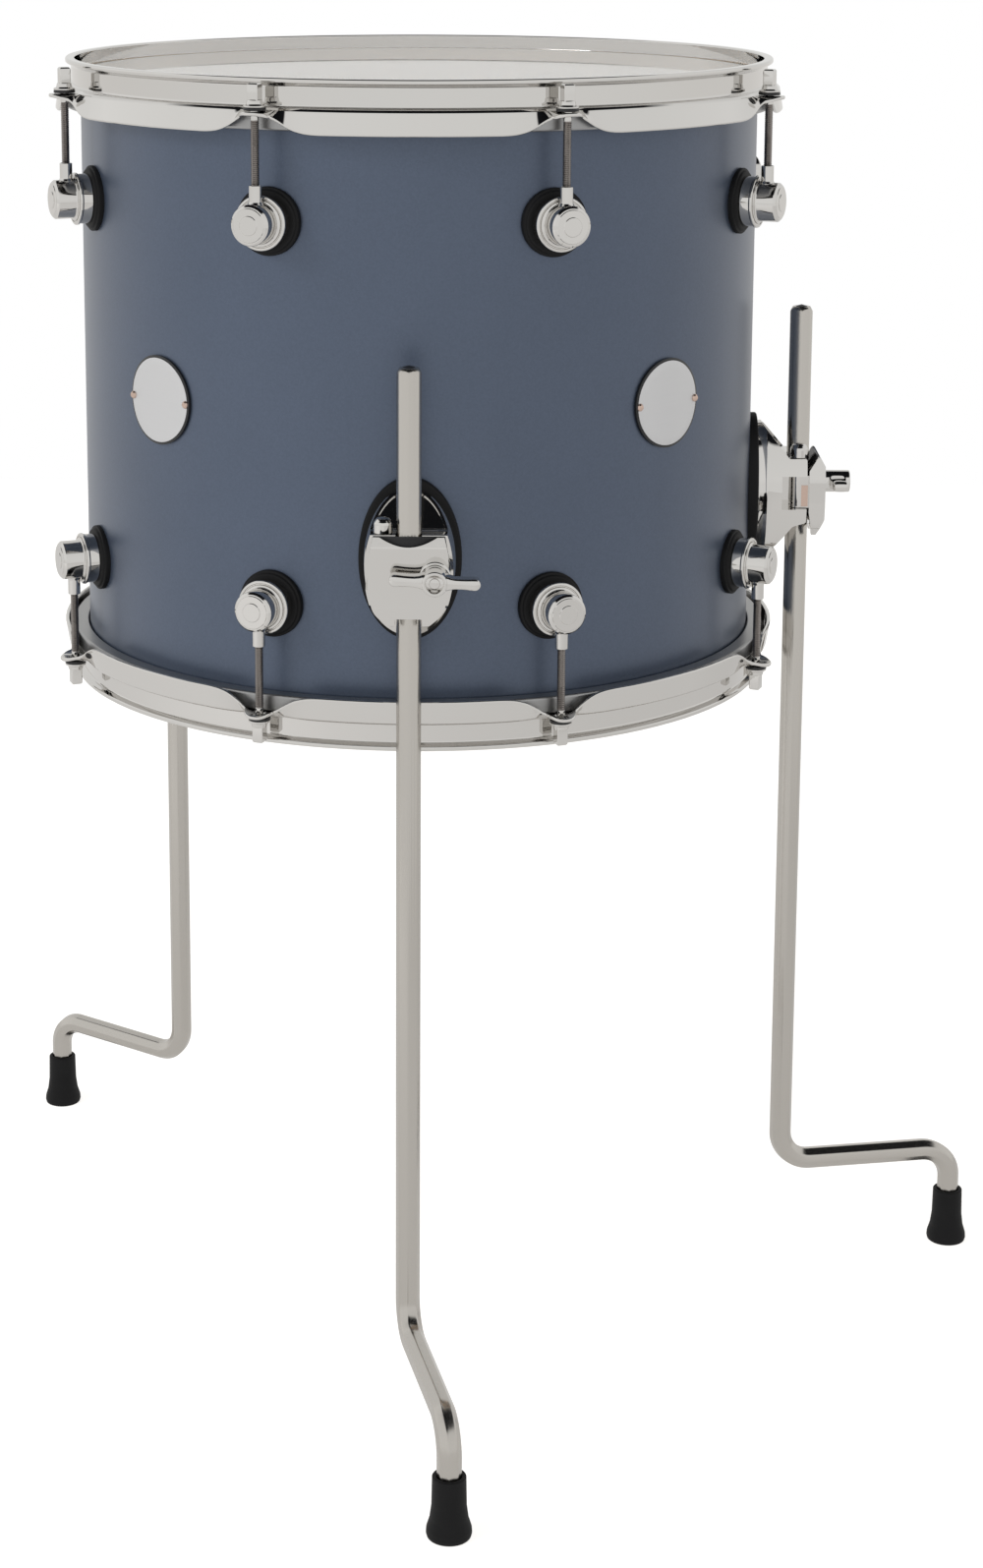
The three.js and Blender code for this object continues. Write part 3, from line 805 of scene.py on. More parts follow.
# Tension rods: cold-headed steel with a square drive over a bell flange, chromed, and a rolled and
# nickelled 12-24 thread up to just below the head. Each screws into its lug through an ear of the
# hoop, on a black nylon washer.
nickel_colour = "8d8783"
nylon_colour = "18181a"
dull_patch = 4.55 * mm
mould_grain = 0.83 * mm
mould_depth = 0.02 * mm
rod_radius = 2.4
thread_root = 2.0
thread_pitch = 25.4 / 24
thread_start = -5
rod_length = 58.5
washer_radius = 6.2
washer_thickness = 1.6
flange_height = 3.2
drive_square = 6.35
drive_height = 9.8
washer_seat = lip_rise - ear_drop + 0.3
thread_turn_steps = 16
thread_pitch_steps = 6
flange_lip = 1
flange_shoulder = 1.6
flange_waist = 4.7
flange_neck = 4.1
neck_rise = 0.9
drive_corner = 0.55
drive_chamfer = 1.0
washer_room = 0.05

# Nickelled steel, rolled: greyer and duller than the chrome, dulled unevenly by the dies.
nickel, tree, where = new_finish("rolled nickelled steel")
dull = add_node(tree, "ShaderNodeTexNoise", {"Vector": where, "Scale": 1 / dull_patch, "Detail": 3})
dull_range = add_node(
    tree, "ShaderNodeMapRange", {"Value": dull.outputs["Fac"], "To Min": 0.2, "To Max": 0.42}
)
surfaced(
    tree,
    {
        "Base Color": hex_colour(nickel_colour),
        "Metallic": 1.0,
        "Roughness": dull_range.outputs[0],
    },
)

# Black nylon, moulded: a low sheen over the faint grain of its mould.
nylon, tree, where = new_finish("moulded black nylon")
grain = add_node(tree, "ShaderNodeTexNoise", {"Vector": where, "Scale": 1 / mould_grain, "Detail": 2})
grain_bump = add_node(
    tree, "ShaderNodeBump", {"Height": grain.outputs["Fac"], "Distance": mould_depth}
)
surfaced(
    tree,
    {
        "Base Color": hex_colour(nylon_colour),
        "Roughness": 0.42,
        "Normal": grain_bump.outputs[0],
    },
)


def threaded(top, bottom):
    """A screw thread down a rod's own axis, with blunt ends."""
    steps = int((top - bottom) / thread_pitch * thread_pitch_steps)
    rings = [[(0, 0, top)] * thread_turn_steps]
    for k in range(steps + 1):
        height = top + (bottom - top) * k / steps
        fade = min(k, steps - k, thread_pitch_steps) / thread_pitch_steps
        ring = []
        for i in range(thread_turn_steps):
            share = i / thread_turn_steps
            phase = ((height / thread_pitch + share) % 1) * 2
            crest = 1 - abs(phase - 1)
            radius = thread_root + (rod_radius - thread_root) * crest * fade
            turn = 2 * math.pi * share
            ring.append((radius * math.cos(turn), radius * math.sin(turn), height))
        rings.append(ring)
    rings.append([(0, 0, bottom)] * thread_turn_steps)
    return skin(rings)


flange_top = washer_thickness + flange_height
bell = turned(
    rounded(
        [
            (0, thread_start - 0.5, 0),
            (rod_radius, thread_start - 0.5, 0.3),
            (rod_radius, washer_thickness, 0.2),
            (washer_radius, washer_thickness, 0.35),
            (washer_radius, washer_thickness + flange_lip, 0.4),
            (flange_waist, washer_thickness + flange_shoulder, 0.8),
            (flange_neck, flange_top + neck_rise, 0.8),
            (0, flange_top + flange_shoulder, 0),
        ]
    ),
    48,
)
half_drive = drive_square / 2
drive_end = flange_top + drive_height
square = [
    (x * half_drive, y * half_drive, drive_corner)
    for x, y in ((1, 1), (-1, 1), (-1, -1), (1, -1))
]
drive_outline = rounded(square, closed=True)
drive_shares = [
    (0.9, washer_thickness + flange_lip),
    (1, flange_top - flange_lip),
    (1, drive_end - drive_chamfer),
    (0.97, drive_end - drive_chamfer * 0.7),
    (0.8, drive_end - drive_chamfer * 0.1),
    (0.72, drive_end),
]
drive_rings = [[(x * share, y * share, z) for x, y in drive_outline] for share, z in drive_shares]
rod_shape = joined(
    tinted(threaded(thread_start, -rod_length), 1), tinted(bell, 0), tinted(skin(drive_rings), 0)
)
washer_shape = turned(
    rounded(
        [
            (rod_radius + washer_room, 0, 0.2),
            (washer_radius, 0, 0.35),
            (washer_radius, washer_thickness - washer_room, 0.35),
            (rod_radius + washer_room, washer_thickness - washer_room, 0.2),
        ],
        closed=True,
    ),
    48,
    loop=True,
)


def end_place(end, angle, height, out=0):
    """The place of a shape that points up at the top end and down at the bottom end."""
    level = shell_top + height if end == "top" else shell_foot - height
    turn = Matrix.Identity(4) if end == "top" else upside_down
    return at(angle, level) @ turn @ Matrix.Translation((0, -out, 0))


for end in ("top", "bottom"):
    for k, angle in enumerate(rod_angles, 1):
        place = end_place(end, angle, washer_seat, rod_circle)
        body = f"{end}_rod_{k}"
        node = f"{end}_tension_rod_{k}"
        piece(f"{node}_steel", moved(rod_shape, place), [chrome, nickel], body, [node])
        piece(f"{node}_washer", moved(washer_shape, place), [nylon], body, [])

# Lugs: a die-cast, chromed post for each rod, with a stepped round cap and a plated steel sleeve
# that the rod screws into. A rubber ring keeps it off the lacquer, and two machine screws hold it
# from inside.
rubber_dark, rubber_dusty = "0b0b0c", "141415"
rubber_grain = 1.43 * mm
rubber_grain_depth = 0.05 * mm
dust_patch = 16.7 * mm
lug_drop = 69.2
lug_reach = 26
lug_gasket_radius = 19
lug_gasket_thickness = 4
lug_base_radius = 14.5
lug_bead_radius = 15.2
lug_base_end = 10.2
lug_bead_end = 12
lug_barrel_radius = 11.3
sleeve_radius = 3.6
sleeve_bore = 2.9
sleeve_height = 21
sleeve_length = 17
sleeve_collar = 0.9
cap_step = 0.5
cap_ring_outer = 9.4
cap_ring_inner = 5.4
seat_room = 0.05
lug_heights = {"top": shell_top - lug_drop, "bottom": shell_foot + lug_drop}

# Black rubber, moulded: matt, with a fine grain and a trace of dust. The grain is drawn at over a
# millimetre, coarser than the real one, so that it shows.
rubber, tree, where = new_finish("moulded black rubber")
grain = add_node(tree, "ShaderNodeTexNoise", {"Vector": where, "Scale": 1 / rubber_grain, "Detail": 4})
dust = add_node(tree, "ShaderNodeTexNoise", {"Vector": where, "Scale": 1 / dust_patch, "Detail": 5})
dust_shade = add_node(
    tree,
    "ShaderNodeMix",
    {0: dust.outputs["Fac"], 6: hex_colour(rubber_dark), 7: hex_colour(rubber_dusty)},
    data_type="RGBA",
)
grain_bump = add_node(
    tree, "ShaderNodeBump", {"Height": grain.outputs["Fac"], "Distance": rubber_grain_depth}
)
surfaced(
    tree,
    {
        "Base Color": dust_shade.outputs[2],
        "Roughness": 0.6,
        "Specular IOR Level": 0.22,
        "Normal": grain_bump.outputs[0],
    },
)


def seated(profile, sides=96):
    """A profile of (radius, distance out of the shell) points, turned round an axis that points
    out of the drum. Points at distance 0 lie on the curve of the shell."""
    rings = []
    for radius, out in profile:
        ring = []
        for i in range(sides):
            turn = 2 * math.pi * i / sides
            x, z = radius * math.cos(turn), radius * math.sin(turn)
            seat = math.sqrt((shell_radius + seat_room) ** 2 - x**2)
            ring.append((x, -seat if out == 0 else -shell_radius - out, z))
        rings.append(ring)
    return skin(rings)


gasket_edge = [(0, 1.0), (0, 2.0), (0.2, 2.3), (1.1, 2.5), (1.4, 2.7), (1.6, 3.4), (2.2, 3.9)]
gasket_profile = [(radius, 0) for radius in (0, 6, 12, 16, lug_gasket_radius)]
gasket_profile += [(lug_gasket_radius - inset, out) for inset, out in gasket_edge]
gasket_profile += [(lug_gasket_radius - 2.9, lug_gasket_thickness), (0, lug_gasket_thickness)]
lug_gasket_shape = seated(gasket_profile)
cap_foot = lug_reach - 2 * cap_step
lug_profile = rounded(
    [
        (0, lug_gasket_thickness, 0),
        (lug_base_radius, lug_gasket_thickness, 0.6),
        (lug_base_radius, lug_base_end, 0.5),
        (lug_bead_radius, lug_base_end + 0.3, 0.6),
        (lug_bead_radius, lug_bead_end, 0.7),
        (lug_bead_radius - 1.5, lug_bead_end + 0.3, 0.2),
        (lug_bead_radius - 1.7, lug_bead_end - 0.5, 0.2),
        (lug_bead_radius - 2.3, lug_bead_end - 0.5, 0.2),
        (lug_bead_radius - 2.5, lug_bead_end + 0.5, 0.3),
        (lug_barrel_radius, lug_bead_end + 0.9, 0.9),
        (lug_barrel_radius, cap_foot - 1.3, 0.7),
        (lug_barrel_radius - 1.3, cap_foot, 0.5),
        (cap_ring_outer, cap_foot, 0.25),
        (cap_ring_outer - 0.3, lug_reach - cap_step, 0.25),
        (cap_ring_inner, lug_reach - cap_step, 0.25),
        (cap_ring_inner - 0.3, lug_reach, 0.25),
        (0, lug_reach, 0),
    ],
    hold=0.1,
)
lug_body = moved(turned(lug_profile, 96), outward, Matrix.Translation((0, -shell_radius, 0)))
sleeve_foot = sleeve_height - sleeve_length
sleeve_profile = rounded(
    [
        (sleeve_bore, sleeve_height - 8, 0.1),
        (sleeve_bore, sleeve_height, 0.3),
        (sleeve_radius, sleeve_height, 0.4),
        (sleeve_radius, lug_barrel_radius + 0.9, 0.8),
        (sleeve_radius + sleeve_collar, lug_barrel_radius - 0.7, 0.3),
        (sleeve_radius + sleeve_collar, sleeve_foot, 0.1),
        (sleeve_bore, sleeve_foot, 0.1),
    ],
    closed=True,
    hold=0.1,
)
sleeve_shape = moved(turned(sleeve_profile, 48, loop=True), Matrix.Translation((0, -rod_circle, 0)))
lug_shape = joined(lug_body, sleeve_shape)

for end in ("top", "bottom"):
    for k, angle in enumerate(rod_angles, 1):
        place = end_place(end, angle, -lug_drop)
        node = f"{end}_lug_{k}"
        piece(f"{node}_post", moved(lug_shape, place), [chrome], "drum", [node])
        piece(f"{node}_gasket", moved(lug_gasket_shape, place), [rubber], "drum", [])

# Badges: two blanked discs of aluminium, rolled to the curve of the shell, brushed on the face
# with a black enamelled edge, each held by two small pins.
badge_radius = 25.5
badge_thickness = 2.0
badge_lift = 0.1
badge_back_top = 1.85
badge_back_round = 0.4
badge_face_foot = 1.3
badge_ring_radius = 12
badge_face_radius = 24.1
badge_pin_radius = 23
badge_angles = {"left": -45, "right": 45}
badge_height = shell_foot + shell_depth / 2
face_colour = "d2d2d3"
enamel_colour = "141416"
brass_colour = "cdb5a8"
brush_length = 25 * mm
brush_width = 0.4 * mm
brush_depth = 0.008 * mm
enamel_wave = 3.33 * mm
enamel_depth = 0.01 * mm
rubbed_patch = 2 * mm

# Brushed aluminium: satin, with level lines that spread the light upwards. Real lines are finer
# and are drawn 0.4 mm wide so that they show.
brushed_aluminium, tree, where = new_finish("brushed aluminium")
stretched = add_node(
    tree,
    "ShaderNodeMapping",
    {"Vector": where, "Scale": (1 / brush_length, 1 / brush_length, 1 / brush_width)},
)
brushing = add_node(
    tree, "ShaderNodeTexNoise", {"Vector": stretched.outputs[0], "Scale": 1, "Detail": 2}
)
brush_range = add_node(
    tree, "ShaderNodeMapRange", {"Value": brushing.outputs["Fac"], "To Min": 0.3, "To Max": 0.5}
)
brush_bump = add_node(
    tree, "ShaderNodeBump", {"Height": brushing.outputs["Fac"], "Distance": brush_depth}
)
surfaced(
    tree,
    {
        "Base Color": hex_colour(face_colour),
        "Metallic": 0.85,
        "Roughness": brush_range.outputs[0],
        "Normal": brush_bump.outputs[0],
    },
)

# Black enamel, baked: glossy, and faintly uneven where it flowed before it set.
enamel, tree, where = new_finish("baked black enamel")
flow = add_node(tree, "ShaderNodeTexNoise", {"Vector": where, "Scale": 1 / enamel_wave})
flow_bump = add_node(
    tree, "ShaderNodeBump", {"Height": flow.outputs["Fac"], "Distance": enamel_depth}
)
surfaced(
    tree,
    {
        "Base Color": hex_colour(enamel_colour),
        "Roughness": 0.25,
        "Normal": flow_bump.outputs[0],
    },
)

# Nickelled brass, turned: the plating is thin, so the brass warms it, and it is rubbed in patches.
nickelled_brass, tree, where = new_finish("turned nickelled brass")
rubbed = add_node(
    tree, "ShaderNodeTexNoise", {"Vector": where, "Scale": 1 / rubbed_patch, "Detail": 3}
)
rub_gloss = add_node(
    tree, "ShaderNodeMapRange", {"Value": rubbed.outputs["Fac"], "To Min": 0.15, "To Max": 0.35}
)
surfaced(
    tree,
    {
        "Base Color": hex_colour(brass_colour),
        "Metallic": 1.0,
        "Roughness": rub_gloss.outputs[0],
    },
)


def wrapped(profile, sides=128):
    """A profile of (radius, lift) points turned into a disc that follows the shell's curve."""
    rings = []
    for radius, lift in profile:
        ring = []
        for i in range(sides):
            turn = 2 * math.pi * i / sides
            x, z = radius * math.cos(turn), radius * math.sin(turn)
            ring.append((x, -math.sqrt((shell_radius + lift) ** 2 - x**2), z))
        rings.append(ring)
    return skin(rings)


badge_back_shape = wrapped(
    [
        (0, badge_lift),
        (badge_ring_radius, badge_lift),
        (badge_radius - badge_back_round, badge_lift),
        (badge_radius, badge_back_round),
        (badge_radius, badge_back_top - 0.25),
        (badge_radius - badge_back_round, badge_back_top),
        (badge_ring_radius, badge_back_top),
        (0, badge_back_top),
    ]
)
badge_face_shape = wrapped(
    [
        (0, badge_face_foot),
        (badge_ring_radius, badge_face_foot),
        (badge_face_radius, badge_face_foot),
        (badge_face_radius, badge_thickness - 0.12),
        (badge_face_radius - 0.05, badge_thickness - 0.04),
        (badge_face_radius - 0.2, badge_thickness),
        *[(radius, badge_thickness) for radius in (20, 15, 10, 5, 0)],
    ]
)
badge_pin_profile = [(0, -0.6, 0), (2.2, -0.6, 0.1), (2.2, 0.5, 0.5), (1.4, 1.4, 0.8), (0, 1.7, 0)]
badge_pin_shape = turned(rounded(badge_pin_profile), 32)
for name, angle in badge_angles.items():
    place = at(angle, badge_height)
    node = f"{name}_badge"
    piece(f"{node}_back", moved(badge_back_shape, place), [enamel], "drum", [node])
    face = moved(badge_face_shape, place)
    piece(f"{node}_face", face, [brushed_aluminium], "drum", [])
    pins = []
    for side in (-1, 1):
        x = side * badge_pin_radius
        lift = -math.sqrt((shell_radius + badge_thickness) ** 2 - x**2)
        pins.append(moved(badge_pin_shape, outward, Matrix.Translation((x, lift, 0))))
    piece(f"{node}_pins", moved(joined(*pins), place), [nickelled_brass], "drum", [])

# Leg brackets: die-cast zinc, polished and chromed, on an oval rubber gasket. The body stands off
# the shell and is cut away above, has a channel for the leg up its front, a hole for the wing
# bolt on the right and a window on the left where the jaw is hinged.
leg_angles = {"front": 0, "right": 90, "left": -134}
bracket_height = 504.5
bracket_seat = 207
bracket_front = 236.5
bracket_half = (25, 41.2)
bracket_gasket_half = (28.5, 45.5)
bracket_shoulder = 20.6
leg_axis = 232.75
leg_corner = 12.7 / 2 / math.cos(math.pi / 8)
leg_room = leg_corner + 0.3
pin_side = leg_room + 6.8
pin_out = 232
bolt_side = leg_room + 7.3
bolt_lift = 0.1
bolt_hole_radius = 4.1
bolt_hole_floor = 220
pin_hole_radius = 2.8
window_half = 10.2
window_depth = 15.2
scoop_rim = 0.7
casting_round = 0.75
cut_across = 60
cut_up = 70
cut_out = 300
oval_turns = 96
gasket_front = 206.9
gasket_round = 1.2
pad_shares = (0.001, 0.3, 0.6, 0.85, 1)
pad_round_steps = 4
hinge_pin_length = 39.5
hinge_pin_radius = 2.5
hinge_head_radius = 5.3
hinge_head_height = 8.9


def oval(half, turns=oval_turns):
    """Points of an upright oval."""
    angles = [2 * math.pi * i / turns for i in range(turns)]
    return [(half[0] * math.cos(a), half[1] * math.sin(a)) for a in angles]


def front_block(outline, near, far):
    """An outline of (across, up) points carried out of the drum between two radii."""
    return skin([[(x, -r, z) for x, z in outline] for r in (near, far)])


def side_block(outline, half_width):
    """An outline of (radius, up) points carried across by half a width each way."""
    return skin([[(x, -r, z) for r, z in outline] for x in (-half_width, half_width)])


def plan_block(outline, low, high):
    """An outline of (across, radius) points carried up between two heights."""
    return skin([[(x, -r, z) for x, r in outline] for z in (low, high)])


def cross_drill(radius, across, up, near):
    """A round tool that points out of the drum."""
    rod = turned([(0, near), (radius, near), (radius, cut_out), (0, cut_out)], 48)
    return moved(rod, outward, Matrix.Translation((across, 0, up)))


def up_drill(radius, across, out):
    """A round tool that points up."""
    rod = turned([(0, -cut_up), (radius, -cut_up), (radius, cut_up), (0, cut_up)], 48)
    return moved(rod, Matrix.Translation((across, -out, 0)))


bracket_side = rounded(
    [
        (bracket_seat - 5, -cut_across, 0.1),
        (bracket_seat + 7.4, -bracket_half[1] - 0.1, 3),
        (bracket_seat + 21.5, -21.4, 4),
        (bracket_front, -18.9, 1.6),
        (bracket_front, bracket_shoulder, 1.0),
        (bracket_seat + 18.9, bracket_shoulder, 2.0),
        (bracket_seat + 2.1, bracket_half[1], 1.5),
        (bracket_seat - 5, cut_across, 0.1),
    ],
    closed=True,
)
scoop_floor = bracket_shoulder + scoop_rim
scoop_side = [
    (bracket_seat + 1.4, cut_across),
    (bracket_seat + 1.4, bracket_half[1] - 1.2),
    (bracket_seat + 10.5, scoop_floor + 7.8),
    (bracket_seat + 17.3, scoop_floor),
    (cut_out, scoop_floor),
    (cut_out, cut_across),
]
scoop = carved(
    front_block(oval((bracket_half[0] - 1.5, bracket_half[1] - 1.7)), bracket_seat, cut_out),
    ("INTERSECT", side_block(scoop_side, cut_across)),
)
channel_turns = [math.pi * k / 4 for k in range(8)]
channel_corners = [
    (leg_room * math.cos(turn), leg_axis + leg_room * math.sin(turn)) for turn in channel_turns
]
leg_bore = plan_block(channel_corners, -cut_up, cut_up)
leg_slot = plan_block(
    [(-leg_room, leg_axis), (leg_room, leg_axis), (leg_room, cut_out), (-leg_room, cut_out)],
    -cut_up,
    cut_up,
)
window_inner = leg_room + 1.7
window_back = bracket_front - window_depth
window_box = plan_block(
    [
        (-cut_across, window_back),
        (-window_inner, window_back),
        (-window_inner, cut_out),
        (-cut_across, cut_out),
    ],
    -window_half,
    window_half,
)
bracket_draft = [(207, -0.5), (211.6, -0.1), (212.2, 0.2), (212.6, 0.2), (213.2, -0.1), (237, -0.9)]
bracket_rings = [
    [(x, -r, z) for x, z in oval((bracket_half[0] + out, bracket_half[1] + out))]
    for r, out in bracket_draft
]
bracket_shape = carved(
    skin(bracket_rings),
    ("INTERSECT", side_block(bracket_side, cut_across)),
    ("DIFFERENCE", scoop),
    ("DIFFERENCE", leg_bore),
    ("DIFFERENCE", leg_slot),
    ("DIFFERENCE", window_box),
    ("DIFFERENCE", up_drill(pin_hole_radius, -pin_side, pin_out)),
    ("DIFFERENCE", cross_drill(bolt_hole_radius, bolt_side, bolt_lift, bolt_hole_floor)),
    edge=casting_round,
)


def oval_pad(half, back, front, edge):
    """An oval pad that follows the shell behind and is flat in front."""
    rings = []
    turns = oval(half)
    for share in pad_shares:
        ring = [(x * share, z * share) for x, z in turns]
        rings.append([(x, -math.sqrt(back**2 - x**2), z) for x, z in ring])
    for k in range(pad_round_steps + 1):
        turn = math.pi / 2 * k / pad_round_steps
        inset = edge * (1 - math.cos(turn))
        ring = [(x * (1 - inset / half[0]), z * (1 - inset / half[1])) for x, z in turns]
        rings.append([(x, -(front - edge + edge * math.sin(turn)), z) for x, z in ring])
    rings.append([(x * pad_shares[0], -front, z * pad_shares[0]) for x, z in turns])
    return skin(rings)


gasket_shape = oval_pad(
    bracket_gasket_half, shell_radius + seat_room, gasket_front, gasket_round
)
pin_seat = bracket_shoulder + 0.1
hinge_pin_profile = rounded(
    [
        (0, pin_seat - hinge_pin_length, 0),
        (hinge_pin_radius, pin_seat - hinge_pin_length, 0.4),
        (hinge_pin_radius, pin_seat, 0.1),
        (hinge_head_radius, pin_seat, 0.3),
        (hinge_head_radius, pin_seat + hinge_head_height - 3.3, 2.4),
        (hinge_head_radius - 1.7, pin_seat + hinge_head_height - 0.8, 2.4),
        (0, pin_seat + hinge_head_height, 0),
    ]
)
hinge_pin_shape = moved(turned(hinge_pin_profile, 48), Matrix.Translation((-pin_side, -pin_out, 0)))
for name, angle in leg_angles.items():
    place = at(angle, bracket_height)
    for part, shape, finish, node, slot in (
        ("bracket_pad", gasket_shape, rubber, "bracket_gasket", "rubber"),
        ("bracket_casting", bracket_shape, chrome, "leg_bracket", "chrome"),
        ("bracket_pin", hinge_pin_shape, chrome, "hinge_pin", "chrome"),
    ):
        piece(f"{name}_{part}", moved(shape, place), [finish], "drum", [f"{name}_{node}"])

# Clamp jaws: the front half of each clamp, die-cast and chromed, hinged on its left and drawn in
# by the wing bolt on its right. A nylon bushing lines the funnel at the top that leads the leg in,
# and a thin plate of nickelled brass takes the wear beside the hinge.
jaw_inner = 238
jaw_outer = 247.8
jaw_top = 22.4
jaw_bottom = 28.8
jaw_notch = 24.3
jaw_half_width = 21.8
funnel_rise = 14.2
funnel_size = 20
knuckle_radius = 4.8
knuckle_room = 0.3
knuckle_steps = 16
boss_radius = 8.5
jaw_bolt_hole_radius = 3.4
jaw_edge = 0.45
jaw_overrun = 2
bushing_room = 0.2
bushing_inset, bushing_drop = 0.6, 0.4
plate_near, plate_far = 18.6, 19.4
plate_back, plate_front = 233.4, 237.4
plate_low, plate_high = -9, 4
jaw_right = [
    (leg_corner + 0.5, -jaw_notch, 0.6),
    (leg_corner + 0.5, -jaw_bottom, 0.6),
    (jaw_half_width * 0.5, -jaw_bottom, 8),
    (jaw_half_width * 0.87, -jaw_bottom * 0.74, 14),
    (jaw_half_width, -jaw_bottom * 0.28, 18),
    (jaw_half_width, jaw_top * 0.35, 18),
    (jaw_half_width * 0.87, jaw_top, 2.5),
]
jaw_left = [(-x, z, r) for x, z, r in reversed(jaw_right)]
jaw_outline = rounded(jaw_right + jaw_left, closed=True, steps=6)
jaw_section = rounded(
    [
        (jaw_inner, -jaw_bottom * 0.43, 0.6),
        (jaw_inner, jaw_top * 0.58, 0.6),
        (jaw_inner + 6.1, jaw_top, 1),
        (jaw_outer, jaw_top * 0.7, 1.2),
        (jaw_outer, -jaw_bottom * 0.6, 1.2),
        (jaw_inner + 5.4, -jaw_bottom, 0.8),
        (jaw_inner + 2.9, -jaw_bottom, 0.8),
    ],
    closed=True,
)
funnel_low = jaw_top - funnel_rise
funnel = moved(
    turned(
        [
            (0, funnel_low),
            (leg_room, funnel_low),
            (leg_room + funnel_size, funnel_low + funnel_size),
            (0, funnel_low + funnel_size),
        ],
        96,
    ),
    Matrix.Translation((0, -leg_axis, 0)),
)
knuckle = []
for k in range(knuckle_steps + 1):
    turn = math.pi * (1 + k / knuckle_steps)
    across = knuckle_radius * math.cos(turn) - pin_side
    knuckle.append((across, pin_out + knuckle_radius * math.sin(turn)))
for across in (knuckle_radius, -knuckle_radius):
    knuckle.append((across - pin_side, jaw_inner + jaw_overrun))
knuckle_half = window_half - knuckle_room
jaw_far = jaw_outer + jaw_overrun
boss_profile = rounded(
    [
        (0, jaw_inner + 1, 0),
        (boss_radius, jaw_inner + 1, 0.1),
        (boss_radius, jaw_far, 1.0),
        (0, jaw_far, 0),
    ]
)
boss = moved(turned(boss_profile, 64), outward, Matrix.Translation((bolt_side, 0, bolt_lift)))
jaw_shape = carved(
    front_block(jaw_outline, jaw_inner - jaw_overrun, jaw_far),
    ("INTERSECT", side_block(jaw_section, cut_across)),
    ("DIFFERENCE", leg_bore),
    ("DIFFERENCE", funnel),
    ("UNION", boss),
    ("UNION", plan_block(knuckle, -knuckle_half, knuckle_half)),
    ("DIFFERENCE", cross_drill(jaw_bolt_hole_radius, bolt_side, bolt_lift, shell_radius)),
    ("DIFFERENCE", up_drill(pin_hole_radius, -pin_side, pin_out)),
    edge=jaw_edge,
)
bushing_section = [(r - bushing_inset, z - bushing_drop) for r, z in jaw_section]
bushing_shape = carved(
    moved(funnel, Matrix.Translation((0, -bushing_room, 0))),
    ("INTERSECT", front_block(jaw_outline, leg_axis + 0.3, jaw_far)),
    ("INTERSECT", side_block(bushing_section, cut_across)),
    ("DIFFERENCE", leg_bore),
)
plate_corners = [
    (-plate_far, plate_back),
    (-plate_near, plate_back),
    (-plate_near, plate_front),
    (-plate_far, plate_front),
]
wear_plate_shape = plan_block(plate_corners, plate_low, plate_high)
for name, angle in leg_angles.items():
    place = at(angle, bracket_height)
    for part, shape, finish, nodes, slot in (
        ("wear_plate", wear_plate_shape, nickelled_brass, [], "chrome"),
        ("bushing", bushing_shape, nylon, [], "rubber"),
        ("casting", jaw_shape, chrome, [f"{name}_clamp_jaw"], "chrome"),
    ):
        piece(f"{name}_jaw_{part}", moved(shape, place), [finish], f"{name}_jaw", nodes)

# Wing bolts: a die-cast, chromed head with two wings on a steel screw, whose end shows, bright, in
# the middle of the hub. The screw goes through the jaw into the bracket.
bolt_start = 250.1
bolt_length = 28
hub_recess = 4
hub_rim_radius = 4.9
screw_end_drop = 1.5
hub_radius = 6.8
hub_end = bolt_start + 16.3
bolt_radius = 3
wing_reach = 24.5
wing_rise = 2.5
wing_droop = 3
wing_sections = [
    (0, 4.4, 5.4),
    (4, 4.4, 5.4),
    (6.5, 4.2, 5.4),
    (8.5, 3.5, 5.3),
    (11, 3.1, 5.1),
    (14, 3.05, 4.9),
    (16.5, 3.1, 4.8),
    (18.5, 3.25, 4.8),
    (20.5, 3.4, 4.8),
    (22, 3.4, 4.7),
    (23.2, 2.9, 4.5),
    (24, 2.0, 4.1),
    (wing_reach - 0.1, 1.0, 3.7),
    (wing_reach, 0.2, 3.4),
]
wing_turns = 32
wing_squareness = 0.5
wing_forward = 0.3


def wing():
    """One wing along +X: thin at its waist, thick and round at its tip."""
    rings = []
    middle = (bolt_start + hub_end) / 2 + wing_forward
    for x, half_high, half_deep in wing_sections:
        ring = []
        for i in range(wing_turns):
            turn = 2 * math.pi * i / wing_turns
            c, s = math.cos(turn), math.sin(turn)
            deep = math.copysign(abs(c) ** wing_squareness, c) * half_deep
            high = math.copysign(abs(s) ** wing_squareness, s) * half_high
            ring.append((x, -middle - deep, high))
        rings.append(ring)
    return skin(rings)


hub_profile = rounded(
    [
        (0, bolt_start - bolt_length, 0),
        (bolt_radius, bolt_start - bolt_length, 0.6),
        (bolt_radius, bolt_start, 0.1),
        (hub_radius, bolt_start, 0.8),
        (hub_radius, hub_end, 1.4),
        (hub_rim_radius, hub_end, 0.5),
        (hub_rim_radius - 0.3, hub_end - hub_recess, 0.2),
        (bolt_radius, hub_end - hub_recess, 0.1),
        (bolt_radius - 0.1, hub_end - screw_end_drop - 0.1, 0.5),
        (0, hub_end - screw_end_drop, 0),
    ]
)
hub = moved(turned(hub_profile, 64), outward)
right_wing = moved(wing(), Matrix.Rotation(math.radians(wing_droop), 4, "Y"))
left_wing = moved(wing(), Matrix.Rotation(math.pi + math.radians(wing_rise), 4, "Y"))
wing_bolt_shape = moved(
    joined(hub, right_wing, left_wing), Matrix.Translation((bolt_side, 0, bolt_lift))
)
